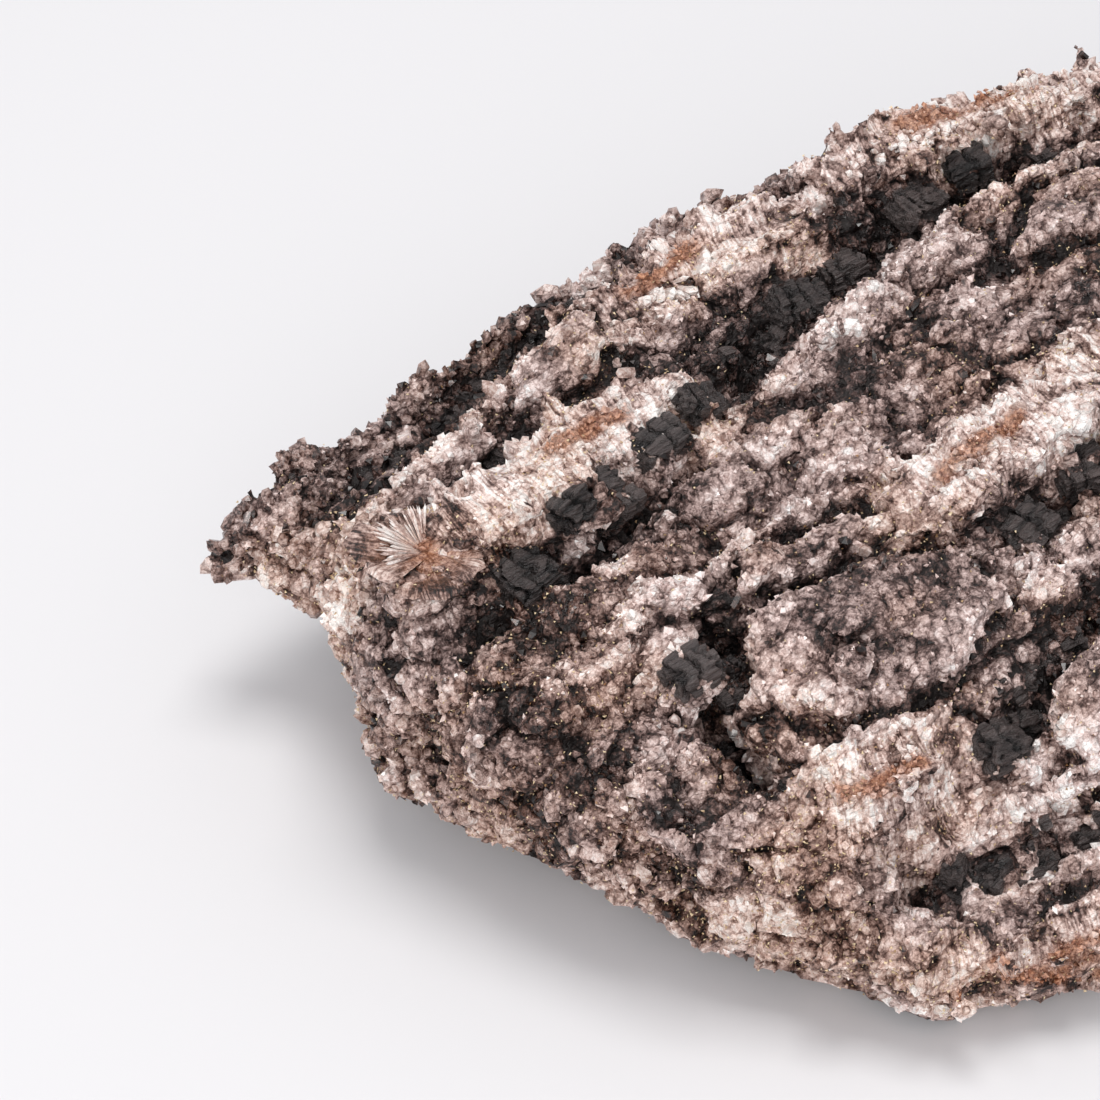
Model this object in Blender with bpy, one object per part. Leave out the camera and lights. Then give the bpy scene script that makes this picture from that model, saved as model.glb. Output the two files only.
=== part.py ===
"""Petrified wood with smoky quartz: one broken hand specimen, about 126 mm long.

The grain of the wood runs along X. The near end, at -X, is broken across the grain and hangs over
its foot, and the far end is broken too. Veins of pale quartz stand up along the grain, each one a
comb of blades on both sides of a rusty seam, with blocks of black wood in the grooves beside them.
All of it has grown together, so it is one solid.

Lengths are written in millimetres and built in metres, with +Z up. The origin is under the middle
of the specimen, at the level of the flat spot that it rests on.
"""

import math

import bmesh
import bpy
import numpy as np
from mathutils import Matrix, Vector, noise
from mathutils.bvhtree import BVHTree

MM = 0.001
NAME = "petrified_wood"
SEED = 8

# The outline seen from above, anticlockwise from the overhanging prong at the near end's left.
# Each point is x, y, the height of the lower edge there, how far that lower edge sits inside the
# widest line, and how far the upper edge sits inside it.
OUTLINE = [
    (-65.4, 38.8, 13.0, 1.2, 1.4),
    (-59.5, 33.4, 11.0, 3.0, 1.6),
    (-56.0, 29.6, 8.5, 2.5, 1.4),
    (-58.8, 24.5, 7.5, 1.8, 1.4),
    (-62.4, 14.0, 5.4, 1.4, 1.6),
    (-60.2, 5.0, 4.6, 2.6, 1.2),
    (-58.0, -4.0, 4.0, 3.8, 1.0),
    (-53.4, -14.5, 3.2, 3.0, 1.2),
    (-47.4, -23.0, 2.2, 2.5, 1.4),
    (-41.6, -32.0, 1.0, 1.5, 1.6),
    (-27.0, -38.6, 1.4, 1.5, 2.2),
    (-9.0, -42.0, 2.0, 2.5, 3.0),
    (14.0, -41.2, 3.0, 3.5, 3.0),
    (34.0, -42.0, 3.4, 3.0, 3.0),
    (49.0, -36.0, 4.0, 3.0, 3.0),
    (54.0, -27.0, 4.4, 2.6, 2.0),
    (55.6, -15.0, 5.0, 4.0, 1.6),
    (62.0, -8.0, 5.4, 3.0, 1.5),
    (63.4, 6.0, 6.0, 4.0, 1.5),
    (57.6, 13.4, 6.0, 3.0, 1.5),
    (59.0, 24.6, 6.0, 2.0, 1.8),
    (49.0, 30.4, 5.0, 3.0, 2.0),
    (36.0, 30.2, 4.0, 3.0, 1.8),
    (20.0, 34.0, 3.4, 3.0, 1.6),
    (4.0, 36.6, 3.2, 3.0, 1.6),
    (-10.0, 40.0, 3.6, 3.0, 1.6),
    (-22.0, 42.2, 5.0, 3.0, 1.6),
    (-40.0, 39.8, 7.0, 3.0, 1.6),
    (-53.0, 40.6, 10.0, 2.5, 1.8),
]

# Heights of the worn surface, before its veins and grooves, at stations along and across the grain.
STATIONS_ALONG = (-60, -35, -10, 20, 45, 63)
STATIONS_ACROSS = (-42, -35, -28, -20, -12, -3, 7, 16, 24, 32, 42)
HEIGHTS = (
    (5.0, 8.0, 11.0, 14.0, 18.0, 21.5, 24.0, 25.0, 23.5, 21.5, 18.5),
    (4.0, 8.5, 14.5, 21.0, 24.0, 25.5, 26.0, 26.5, 26.5, 26.0, 22.5),
    (6.0, 12.0, 18.5, 24.5, 28.0, 28.5, 30.0, 30.0, 29.5, 31.0, 28.0),
    (8.0, 15.0, 21.5, 26.5, 29.5, 31.0, 32.5, 32.0, 31.0, 32.5, 27.0),
    (8.0, 12.5, 18.0, 24.0, 28.0, 30.5, 32.0, 32.5, 31.0, 28.5, 22.0),
    (7.0, 10.0, 14.0, 19.0, 23.0, 26.0, 28.0, 28.0, 26.0, 23.5, 18.0),
)

# The flat spot under the specimen: an ellipse about this middle, and the height under which a
# point belongs to it.
REST_MIDDLE = (-2.0, -1.0)
REST_HALF_LENGTH = 27.0
REST_HALF_WIDTH = 17.0
FLAT_SPOT_BAND = 0.06

# Veins: the line of the seam from above, half the vein's width and how far it stands up.
VEINS = {
    "rosette": ([(-57, 15.2), (-50, 16.3), (-42, 17.6), (-35, 18.0), (-28, 16.8)], 4.6, 4.6),
    "upper": ([(-27, 29.8), (-20, 30.4), (-13, 30.2), (-7, 28.8)], 4.2, 2.8),
    "ridge": ([(3, 31.2), (11, 30.0), (21, 28.0), (32, 26.6)], 3.6, 2.6),
    "middle": ([(-19, -5.2), (-11, -4.8), (-3, -4.6), (5, -2.6)], 4.4, 2.8),
    "front": ([(-44.2, -23.6), (-38, -21.4), (-30, -20.2)], 3.9, 3.0),
    "edge": ([(-41, -32.4), (-34, -35.2), (-26, -37.0), (-12, -39.0)], 2.4, 1.6),
    "far": ([(17, -10), (27, -8.6), (38, -5.6)], 4.2, 2.8),
    "back": ([(30, 13.6), (42, 14.6), (53, 12.0)], 4.0, 2.6),
    "lower": ([(2, -26.4), (14, -27.6), (27, -24.8)], 3.8, 2.4),
}

# Thin ribs along the grain: line, half width, height.
RIBS = [
    ([(-59, 24.2), (-49, 27.6), (-37, 29.0), (-31, 30.0)], 1.5, 1.8),
    ([(-58, 38.6), (-47, 37.6), (-35, 38.4), (-24, 38.0)], 1.7, 2.2),
    ([(-53, 0.4), (-45, 0.6), (-35, 1.8), (-27, 1.6), (-18, 3.2)], 1.8, 2.0),
    ([(-53, -10.2), (-46, -9.6)], 1.8, 1.6),
    ([(-24, 13.2), (-8, 17.0), (3, 18.4), (22, 19.6)], 2.4, 1.8),
    ([(-14, 8.0), (4, 9.4), (24, 8.4)], 2.2, 1.2),
    ([(10, 1.6), (28, 2.6), (48, 1.4)], 2.2, 1.8),
    ([(-16, -15.4), (2, -13.6), (18, -16.6)], 2.0, 1.8),
    ([(32, -15.4), (46, -13.0)], 2.2, 2.0),
    ([(34, 21.6), (50, 20.8)], 2.0, 1.6),
]

# Grooves where the wood has weathered out: line, half width, depth.
GROOVES = [
    ([(-54, 10.6), (-46, 11.0), (-38, 12.6), (-31, 13.2), (-23, 16.4)], 2.4, 3.4),
    ([(-23, 16.4), (-15, 20.0), (-6, 22.8), (4, 24.2), (14, 24.8), (26, 23.2)], 2.6, 3.4),
    ([(-55, 33.4), (-45, 33.6), (-33, 34.8), (-20, 35.6)], 1.9, 2.6),
    ([(-55, 20.8), (-47, 22.6), (-38, 24.2)], 1.6, 2.0),
    ([(-39, -3.4), (-43.4, -8.8), (-42.6, -14.6)], 2.5, 6.5),
    ([(-15, -11.4), (-4, -9.6), (12, -6.0), (24, -3.6)], 2.1, 2.8),
    ([(-32, -25.4), (-25, -23.0), (-18, -20.2), (-4, -19.4), (12, -21.0)], 2.3, 3.2),
    ([(-38, -26.4), (-31, -29.4), (-18, -31.6)], 2.2, 2.8),
    ([(26, 8.6), (42, 8.6), (56, 6.6)], 2.2, 2.8),
    ([(30, -15.0), (42, -18.6), (50, -17.0)], 2.2, 2.6),
]

# Slabs of grain that stand as ledges: corners from above, and height of the step.
LEDGES = [
    ([(-42, -11), (-38.5, -5.8), (-27, -6.6), (-20, -11), (-19, -17), (-27, -19.5), (-38, -17)], 2.6),
    ([(-37.5, -3.0), (-33, 0.0), (-23, -1.4), (-23, -5.0), (-31, -5.6)], 1.8),
    ([(-22, -24), (-14, -22.6), (-13, -28), (-21, -30)], 1.8),
    ([(-37, 27), (-33, 31.6), (-27, 31), (-26, 26.4), (-32, 24.8)], 1.6),
    ([(6, 12), (14, 16.4), (26, 15.4), (27, 10.4), (14, 8.8)], 1.6),
    ([(36, -8), (41, -2.6), (54, -3.4), (54, -10.6), (42, -12)], 2.2),
]

# Pits in the broken near end and in the front slope: x, y, z, radius and depth.
PITS = [
    (-53.6, -13.0, 13.0, 2.6, 2.6),
    (-60.0, 9.0, 15.0, 3.0, 1.6),
    (-37.6, -27.0, 15.0, 2.4, 2.0),
    (4.0, -38.0, 14.0, 3.4, 2.4),
    (62.0, 2.0, 16.0, 4.0, 2.4),
    (56.0, 22.0, 16.0, 3.2, 2.0),
]

# Blocks of black wood, cracked into cubes: x, y, length along the grain, width, height above it.
BLOCKS = [
    (-48.2, 11.0, 4.6, 4.2, 3.4),
    (-42.4, 12.6, 3.6, 3.2, 2.4),
    (-38.8, 13.2, 4.0, 3.4, 2.8),
    (-31.6, 14.0, 5.0, 3.4, 2.4),
    (-44.6, -5.4, 4.4, 3.6, 2.4),
    (-25.8, 15.4, 3.6, 3.0, 1.8),
    (-9.4, 21.6, 5.2, 4.0, 2.6),
    (-3.0, 23.6, 4.2, 3.4, 2.2),
    (7.0, 24.6, 4.8, 3.4, 2.4),
    (13.6, 25.2, 3.8, 3.2, 2.4),
    (-11.8, -11.2, 4.0, 3.6, 2.4),
    (-4.4, -9.4, 4.4, 3.6, 2.4),
    (-26.2, -24.0, 3.8, 3.6, 2.4),
    (-22.6, -22.0, 3.4, 2.8, 2.2),
    (18.4, -5.0, 4.4, 3.4, 2.2),
    (38.0, 8.8, 4.8, 3.6, 2.2),
    (4.0, -20.0, 4.4, 3.6, 2.2),
]

# The rough block: the step along its outline, and its rows of points on top, at the side and
# underneath.
PLAN_STEP = 2.4
TOP_ROWS = 16
SIDE_ROWS = 5
UNDER_ROWS = 12

# The mesh: the size of its even faces, and the facets left on the body and on the whole specimen.
VOXEL = 1.15
BODY_FACETS = 7000
ALL_FACETS = 9600
FACET_STEP = 100
CLOSING_ATTEMPTS = 6

# Relief of the stone: grain along X, plates of it, round lumps and a slow swell. Lengths along and
# across the grain, then height.
GRAIN = (13.0, 2.6, 0.8)
PLATES = (8.0, 3.0, 0.75)
LUMPS = (3.8, 0.9)
SWELL = (9.0, 9.0, 1.0)
CALM_UNDERNEATH = 0.45
LOWEST_OFF_THE_SPOT = 0.25
RAGGED_SIZE = 2.6
SCALLOP_STEP = 4.2
SCALLOP_DEPTH = 0.7
CREST_FALL = 0.10

# Noise is taken from a place of its own for each kind of relief, this far from the one before.
NOISE_STEP = 17.3
PLATE_STEP = 11.9
PLATE_SCATTER = 37.7
LUMP_STEP = 5.3

# Comb blades: their spacing on the seam, widths, thickness as a share of the width, and tip as a
# share of the length.
BLADE_STEP = 4.0
BLADE_WIDTHS = (2.0, 3.6)
BLADE_THICKNESS = 0.66
BLADE_TIP = 0.24

# The rosette: how many petals, how far along the seam its middle is, how deep they start, their
# lengths, width, thickness and tip.
PETALS = 12
ROSETTE_ALONG = 1.2
PETAL_DEPTH = 1.2
PETAL_LENGTHS = (4.0, 5.0)
PETAL_WIDTH = 1.9
PETAL_THICKNESS = 1.5
PETAL_TIP = 0.25

# Smoky points along the back edge, and stubby crystals scattered over the upper surface.
EDGE_LINE = [(-60, 36.6), (-52, 38.6), (-40, 37.8), (-24, 40.0), (-10, 38.0), (4, 34.6), (20, 31.8)]
EDGE_POINTS = 22
EDGE_WIDTHS = (1.6, 3.8)
EDGE_TIP = 0.45
SCATTERED_POINTS = 26
SCATTERED_WIDTHS = (1.8, 4.2)
SCATTERED_TIP = 0.5
SCATTERED_LOWEST = 7.0
POINT_THICKNESS = 0.8

# A block of black wood: how deep it is set, how much its top narrows, how uneven its corners are.
BLOCK_DEPTH = 2.2
BLOCK_NARROWING = 0.82
BLOCK_UNEVEN = 0.3
BLOCK_TOP_UNEVEN = 0.5

FAR_ABOVE = 80.0
FAR_AWAY = 1e9
STONE_COLOUR = (0.23, 0.17, 0.15, 1.0)
STONE_ROUGHNESS = 0.6


def smoothstep(low, high, value):
    t = np.clip((value - low) / (high - low), 0.0, 1.0)
    return t * t * (3.0 - 2.0 * t)


def worn_height(x, y):
    """Height of the upper surface over (x, y), before the veins and grooves."""
    across = np.array([np.interp(y, STATIONS_ACROSS, row) for row in HEIGHTS])
    place = np.interp(x, STATIONS_ALONG, np.arange(len(STATIONS_ALONG)))
    low = np.clip(np.floor(place).astype(int), 0, len(STATIONS_ALONG) - 2)
    part = place - low
    columns = np.arange(across.shape[1])
    return across[low, columns] * (1.0 - part) + across[low + 1, columns] * part


def rest_distance(x, y):
    """1 on the edge of the flat spot, less inside it and more outside."""
    dx = (x - REST_MIDDLE[0]) / REST_HALF_LENGTH
    dy = (y - REST_MIDDLE[1]) / REST_HALF_WIDTH
    return np.hypot(dx, dy)


def walk_outline():
    """The outline in steps of about PLAN_STEP, with the values of its points between them."""
    corners = np.array(OUTLINE)
    closed = np.vstack([corners, corners[:1]])
    run = np.hypot(*np.diff(closed[:, :2], axis=0).T)
    length = np.concatenate([[0.0], np.cumsum(run)])
    count = int(round(length[-1] / PLAN_STEP))
    places = np.linspace(0.0, length[-1], count, endpoint=False)
    return np.array([np.interp(places, length, column) for column in closed.T]).T


def blank_mesh():
    """The rough block: rows of points from the middle of the top, over the edge and underneath."""
    walk = walk_outline()
    plan = walk[:, :2]
    ahead = np.roll(plan, -2, axis=0) - np.roll(plan, 2, axis=0)
    inward = np.stack([-ahead[:, 1], ahead[:, 0]], axis=1)
    inward /= np.linalg.norm(inward, axis=1)[:, None]
    low_z = walk[:, 2]
    low_edge = plan + inward * walk[:, 3:4]
    top_edge = plan + inward * walk[:, 4:5]
    top_z = worn_height(top_edge[:, 0], top_edge[:, 1])
    rows = []
    for step in range(1, TOP_ROWS + 1):
        spot = top_edge * (step / TOP_ROWS)
        rows.append(np.column_stack([spot, worn_height(spot[:, 0], spot[:, 1])]))
    for step in range(1, SIDE_ROWS):
        share = step / SIDE_ROWS
        bulge = math.sin(math.pi * share)
        spot = top_edge + (low_edge - top_edge) * share
        spot = spot - inward * (walk[:, 3:4] + walk[:, 4:5]) * 0.5 * bulge
        rows.append(np.column_stack([spot, top_z + (low_z - top_z) * share]))
    for step in range(UNDER_ROWS):
        share = 1.0 - step / UNDER_ROWS
        spot = low_edge * share
        outer = rest_distance(low_edge[:, 0], low_edge[:, 1])
        here = rest_distance(spot[:, 0], spot[:, 1])
        rise = smoothstep(0.0, 1.0, (here - 1.0) / np.maximum(outer - 1.0, 0.1)) ** 0.8
        rows.append(np.column_stack([spot, low_z * rise]))
    count = len(plan)
    points = [(0.0, 0.0, float(worn_height(np.zeros(1), np.zeros(1))[0]))]
    for row in rows:
        points.extend(map(tuple, row))
    points.append((0.0, 0.0, 0.0))
    last = len(points) - 1
    faces = []
    for i in range(count):
        j = (i + 1) % count
        faces.append((0, 1 + i, 1 + j))
        for row in range(len(rows) - 1):
            a = 1 + row * count
            b = a + count
            faces.append((a + i, b + i, b + j, a + j))
        a = 1 + (len(rows) - 1) * count
        faces.append((a + i, last, a + j))
    mesh = bpy.data.meshes.new("blank")
    mesh.from_pydata(points, [], faces)
    mesh.update()
    return mesh


def object_with(mesh, name):
    made = bpy.data.objects.new(name, mesh)
    bpy.context.scene.collection.objects.link(made)
    return made


def evaluated_copy(source):
    """A plain mesh of what the object's modifiers give."""
    bpy.context.view_layer.update()
    shape = source.evaluated_get(bpy.context.evaluated_depsgraph_get())
    return bpy.data.meshes.new_from_object(shape, preserve_all_data_layers=False)


def drop(made):
    bpy.data.objects.remove(made, do_unlink=True)


def line_distance(x, y, line):
    """Distance of each point from a line seen from above, and how far along the line it is."""
    best = np.full(len(x), FAR_AWAY)
    along = np.zeros(len(x))
    done = 0.0
    for (ax, ay), (bx, by) in zip(line[:-1], line[1:]):
        run = math.hypot(bx - ax, by - ay)
        t = np.clip(((x - ax) * (bx - ax) + (y - ay) * (by - ay)) / run**2, 0.0, 1.0)
        away = np.hypot(x - ax - t * (bx - ax), y - ay - t * (by - ay))
        nearer = away < best
        best = np.where(nearer, away, best)
        along = np.where(nearer, done + t * run, along)
        done += run
    return best, along


def inside_distance(x, y, corners):
    """How far each point lies inside a convex patch, and less than nought outside it."""
    depth = np.full(len(x), FAR_AWAY)
    ring = np.array(corners, float)
    middle = ring.mean(axis=0)
    for a, b in zip(ring, np.roll(ring, -1, axis=0)):
        side = np.array([-(b - a)[1], (b - a)[0]])
        side /= np.linalg.norm(side)
        if side @ (middle - a) < 0:
            side = -side
        depth = np.minimum(depth, (x - a[0]) * side[0] + (y - a[1]) * side[1])
    return depth


def wander(points, along, across, shift):
    """Smooth noise between -1 and 1, stretched along the grain."""
    scale = np.array([1.0 / along, 1.0 / across, 1.0 / across])
    places = points * scale + shift * NOISE_STEP
    return np.array([noise.noise(Vector(place)) for place in places])


def plates(points, along, across, shift):
    """A steady value between -1 and 1 over each broken plate of the grain, with steps between."""
    scale = np.array([1.0 / along, 1.0 / across, 1.0 / across])
    places = points * scale + shift * PLATE_STEP
    middles = [noise.voronoi(Vector(place))[1][0] for place in places]
    return np.array([noise.cell(middle * PLATE_SCATTER) for middle in middles])


def knobs(points, size, shift):
    """Rounded lumps of about that size: 1 on top of each and 0 in the seams between them."""
    places = points / size + shift * LUMP_STEP
    near = np.array([noise.voronoi(Vector(place))[0][:2] for place in places])
    return smoothstep(0.0, 0.55, near[:, 1] - near[:, 0])


def relief_above(points):
    """How far veins, ribs, ledges and grooves lift or sink the upper surface."""
    x, y = points[:, 0], points[:, 1]
    ragged = wander(points * np.array([1.0, 1.0, 0.0]), RAGGED_SIZE, RAGGED_SIZE, 1)
    lift = np.zeros(len(x))
    for line, half_width, height in VEINS.values():
        away, along = line_distance(x, y, line)
        scallop = SCALLOP_DEPTH * np.abs(np.sin(along * math.pi / SCALLOP_STEP)) + 0.9 * ragged
        crest = 1.0 - smoothstep(half_width - 1.2, half_width + 0.9, away - scallop)
        lift = np.maximum(lift, crest * (height - CREST_FALL * away))
    for line, half_width, height in RIBS:
        away, _ = line_distance(x, y, line)
        lift = np.maximum(lift, height * (1.0 - smoothstep(0.0, half_width, away + 0.6 * ragged)))
    for corners, height in LEDGES:
        depth = inside_distance(x, y, corners) + 0.8 * ragged
        lift = np.maximum(lift, height * smoothstep(-0.7, 0.7, depth))
    sink = np.zeros(len(x))
    for line, half_width, deep in GROOVES:
        away, _ = line_distance(x, y, line)
        hollow = 1.0 - smoothstep(half_width * 0.35, half_width * 1.15, away + 0.5 * ragged)
        sink = np.maximum(sink, deep * hollow)
    return lift - sink


def shape_surface(mesh):
    """Gives the dense block its veins and grooves, its grain, its lumps and its flat spot."""
    count = len(mesh.vertices)
    points = np.zeros(count * 3, np.float32)
    normals = np.zeros(count * 3, np.float32)
    mesh.vertices.foreach_get("co", points)
    mesh.vertex_normals.foreach_get("vector", normals)
    points = points.reshape(-1, 3).astype(float)
    normals = normals.reshape(-1, 3).astype(float)
    upward = smoothstep(0.25, 0.65, normals[:, 2])
    downward = smoothstep(0.5, 0.9, -normals[:, 2])
    outer = smoothstep(1.0, 1.5, rest_distance(points[:, 0], points[:, 1]))
    grain = wander(points, GRAIN[0], GRAIN[1], 2) * GRAIN[2]
    grain = grain + plates(points, PLATES[0], PLATES[1], 3) * PLATES[2]
    lumps = (knobs(points, LUMPS[0], 4) - 0.5) * LUMPS[1]
    lumps = lumps + wander(points, SWELL[0], SWELL[1], 5) * SWELL[2]
    rough = (grain + lumps) * (1.0 - downward * CALM_UNDERNEATH) * np.where(downward > 0.0, outer, 1.0)
    pits = np.zeros(count)
    for x, y, z, radius, deep in PITS:
        away = np.linalg.norm(points - np.array([x, y, z]), axis=1)
        pits = np.maximum(pits, deep * (1.0 - smoothstep(radius * 0.5, radius * 1.3, away)))
    points += normals * (rough - pits)[:, None]
    points[:, 2] += relief_above(points) * upward
    resting = (downward > 0.3) & (rest_distance(points[:, 0], points[:, 1]) < 1.0)
    points[:, 2] = np.where(resting, 0.0, np.maximum(points[:, 2], LOWEST_OFF_THE_SPOT))
    print("dense block", len(mesh.polygons), "faces, high", points.max(axis=0).round(2))
    mesh.vertices.foreach_set("co", points.astype(np.float32).ravel())
    mesh.update()


def thin_out(mesh, facets):
    """A copy with about that many triangles, most of them where the relief is."""
    mesh.calc_loop_triangles()
    body = object_with(mesh, "body")
    fewer = body.modifiers.new("fewer", "DECIMATE")
    fewer.ratio = facets / len(mesh.loop_triangles)
    fewer.use_collapse_triangulate = True
    result = evaluated_copy(body)
    print("thinned from", len(mesh.loop_triangles), "to", len(result.polygons))
    drop(body)
    return result


def loose_edges(mesh):
    """How many edges don't join exactly two facets."""
    uses = np.zeros(len(mesh.edges), int)
    for facet in mesh.polygons:
        for key in facet.loop_indices:
            uses[mesh.loops[key].edge_index] += 1
    return int((uses != 2).sum())


def thin_and_closed(mesh):
    """Thins the grown body, a little further each time, until the result is one closed surface."""
    for attempt in range(CLOSING_ATTEMPTS):
        result = thin_out(mesh, ALL_FACETS - attempt * FACET_STEP)
        if loose_edges(result) == 0:
            return result
    raise RuntimeError("the thinned body isn't closed: try another SEED")


def frame_along(direction, flat):
    """A rotation whose Z is the direction and whose X lies as near as it can to flat."""
    z = direction.normalized()
    x = (flat - z * flat.dot(z)).normalized()
    y = z.cross(x)
    return Matrix((x, y, z)).transposed()


def add_crystal(cluster, foot, direction, flat, length, width, thickness, tip):
    """A six-sided prism with a pointed end, from foot along direction, in its own flat faces."""
    turn = frame_along(direction, flat)
    rings = []
    for share, size in ((0.0, 0.82), (1.0 - tip, 1.0)):
        ring = []
        for corner in range(6):
            angle = math.radians(60 * corner)
            spot = Vector((
                math.cos(angle) * width * 0.5 * size,
                math.sin(angle) * thickness * 0.5 * size,
                length * share,
            ))
            ring.append(cluster.verts.new(foot + turn @ spot))
        rings.append(ring)
    point = cluster.verts.new(foot + turn @ Vector((width * 0.06, 0.0, length)))
    cluster.faces.new(reversed(rings[0]))
    for corner in range(6):
        after = (corner + 1) % 6
        cluster.faces.new((rings[0][corner], rings[0][after], rings[1][after], rings[1][corner]))
        cluster.faces.new((rings[1][corner], rings[1][after], point))


def add_block(cluster, foot, up, length, width, height, draw):
    """A block of black wood: a box with uneven corners, its long side near the grain."""
    lean = Vector((draw.uniform(-0.3, 0.3), draw.uniform(-0.4, 0.2), 0.0))
    turn = frame_along(up + lean, Vector((1.0, draw.uniform(-0.5, 0.5), 0.0)))
    corners = []
    for level in (-BLOCK_DEPTH, height):
        for sx, sy in ((-1, -1), (1, -1), (1, 1), (-1, 1)):
            pinch = BLOCK_NARROWING if level > 0 else 1.0
            spot = Vector((
                sx * length * 0.5 * pinch + draw.uniform(-BLOCK_UNEVEN, BLOCK_UNEVEN),
                sy * width * 0.5 * pinch + draw.uniform(-BLOCK_UNEVEN, BLOCK_UNEVEN),
                level + (draw.uniform(-BLOCK_TOP_UNEVEN, BLOCK_TOP_UNEVEN) if level > 0 else 0.0),
            ))
            corners.append(cluster.verts.new(foot + turn @ spot))
    cluster.faces.new((corners[3], corners[2], corners[1], corners[0]))
    cluster.faces.new((corners[4], corners[5], corners[6], corners[7]))
    for i in range(4):
        j = (i + 1) % 4
        cluster.faces.new((corners[i], corners[j], corners[4 + j], corners[4 + i]))


def point_on(line, share):
    """A point of a line seen from above, share 0 to 1 of the way along, and its direction."""
    corners = np.array(line, float)
    run = np.hypot(*np.diff(corners, axis=0).T)
    length = np.concatenate([[0.0], np.cumsum(run)])
    place = share * length[-1]
    i = min(int(np.searchsorted(length, place, side="right")) - 1, len(run) - 1)
    step = corners[i + 1] - corners[i]
    spot = corners[i] + step * ((place - length[i]) / run[i])
    return spot, step / run[i], length[-1]


def surface_at(tree, x, y):
    """The highest point of the body over (x, y), and its normal."""
    hit, normal, _, _ = tree.ray_cast(Vector((x, y, FAR_ABOVE)), Vector((0.0, 0.0, -1.0)))
    return hit, normal


def add_vein_blades(cluster, tree, draw, line, half_width):
    """The comb: blades from the seam towards both edges, overlapping and tilted upwards."""
    total = point_on(line, 0.0)[2]
    count = max(3, int(total / BLADE_STEP))
    for side in (-1, 1):
        for i in range(count):
            share = (i + 0.5 + draw.uniform(-0.3, 0.3)) / count
            spot, ahead, _ = point_on(line, share)
            out = np.array([-ahead[1], ahead[0]]) * side
            heading = out + ahead * draw.uniform(-0.6, 0.6)
            heading /= np.linalg.norm(heading)
            start = spot + out * draw.uniform(0.3, half_width * 0.35)
            hit, _ = surface_at(tree, *start)
            if hit is None:
                continue
            direction = Vector((heading[0], heading[1], draw.uniform(-0.12, 0.5)))
            foot = hit - Vector((0.0, 0.0, draw.uniform(0.5, 1.1)))
            length = half_width * draw.uniform(0.75, 1.1)
            width = draw.uniform(*BLADE_WIDTHS)
            add_crystal(cluster, foot, direction, Vector((ahead[0], ahead[1], 0.0)),
                        length, width, width * BLADE_THICKNESS, BLADE_TIP)


def add_rosette(cluster, tree, draw):
    """The rosette at the near end of the first vein: blades fanned all round its middle."""
    middle_x, middle_y = VEINS["rosette"][0][0]
    hit, _ = surface_at(tree, middle_x + ROSETTE_ALONG, middle_y)
    foot = hit - Vector((0.0, 0.0, PETAL_DEPTH))
    for i in range(PETALS):
        angle = math.radians(360.0 * i / PETALS + draw.uniform(-8.0, 8.0))
        heading = Vector((math.cos(angle), math.sin(angle), draw.uniform(0.30, 0.62)))
        flat = Vector((-math.sin(angle), math.cos(angle), 0.0))
        add_crystal(cluster, foot, heading, flat, draw.uniform(*PETAL_LENGTHS),
                    PETAL_WIDTH, PETAL_THICKNESS, PETAL_TIP)


def add_edge_points(cluster, tree, draw):
    """Smoky points along the back edge and the prong, leaning outwards."""
    for i in range(EDGE_POINTS):
        spot, ahead, _ = point_on(EDGE_LINE, (i + draw.uniform(0.1, 0.9)) / EDGE_POINTS)
        out = np.array([-ahead[1], ahead[0]])
        spot = spot + out * draw.uniform(-3.0, 0.6)
        hit, _ = surface_at(tree, *spot)
        if hit is None:
            continue
        heading = Vector((draw.uniform(-0.9, 0.6), draw.uniform(-0.5, 0.7), 0.9))
        width = draw.uniform(*EDGE_WIDTHS)
        foot = hit - heading.normalized() * width * 0.6
        add_crystal(cluster, foot, heading, Vector((1.0, draw.uniform(-1.0, 1.0), 0.0)),
                    width * draw.uniform(1.1, 1.6), width, width * POINT_THICKNESS, EDGE_TIP)


def add_scattered_points(cluster, tree, draw):
    """Stubby crystals among the grain of the upper surface and on the front slope."""
    placed = 0
    while placed < SCATTERED_POINTS:
        x = draw.uniform(-57.0, 57.0)
        y = draw.uniform(-36.0, 32.0)
        hit, normal = surface_at(tree, x, y)
        if hit is None or hit.z < SCATTERED_LOWEST:
            continue
        lean = Vector((draw.uniform(-0.8, 0.8), draw.uniform(-0.8, 0.8), 0.3))
        heading = normal + lean * 0.8
        width = draw.uniform(*SCATTERED_WIDTHS)
        foot = hit - heading.normalized() * width * 0.5
        add_crystal(cluster, foot, heading, Vector((1.0, draw.uniform(-1.0, 1.0), 0.0)),
                    width * draw.uniform(0.8, 1.1), width, width * POINT_THICKNESS, SCATTERED_TIP)
        placed += 1


def crystal_mesh(body_mesh):
    """Every crystal and block in one mesh, each set into the body's surface."""
    draw = np.random.default_rng(SEED)
    vertices = [Vector(v.co) for v in body_mesh.vertices]
    tree = BVHTree.FromPolygons(vertices, [tuple(p.vertices) for p in body_mesh.polygons])
    cluster = bmesh.new()
    add_rosette(cluster, tree, draw)
    for line, half_width, _ in VEINS.values():
        add_vein_blades(cluster, tree, draw, line, half_width)
    add_edge_points(cluster, tree, draw)
    add_scattered_points(cluster, tree, draw)
    for x, y, length, width, height in BLOCKS:
        hit, normal = surface_at(tree, x, y)
        up = (normal + Vector((0.0, 0.0, 1.5))).normalized()
        add_block(cluster, hit, up, length, width, height, draw)
    mesh = bpy.data.meshes.new("crystals")
    bmesh.ops.recalc_face_normals(cluster, faces=cluster.faces)
    cluster.to_mesh(mesh)
    cluster.free()
    return mesh


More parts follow.
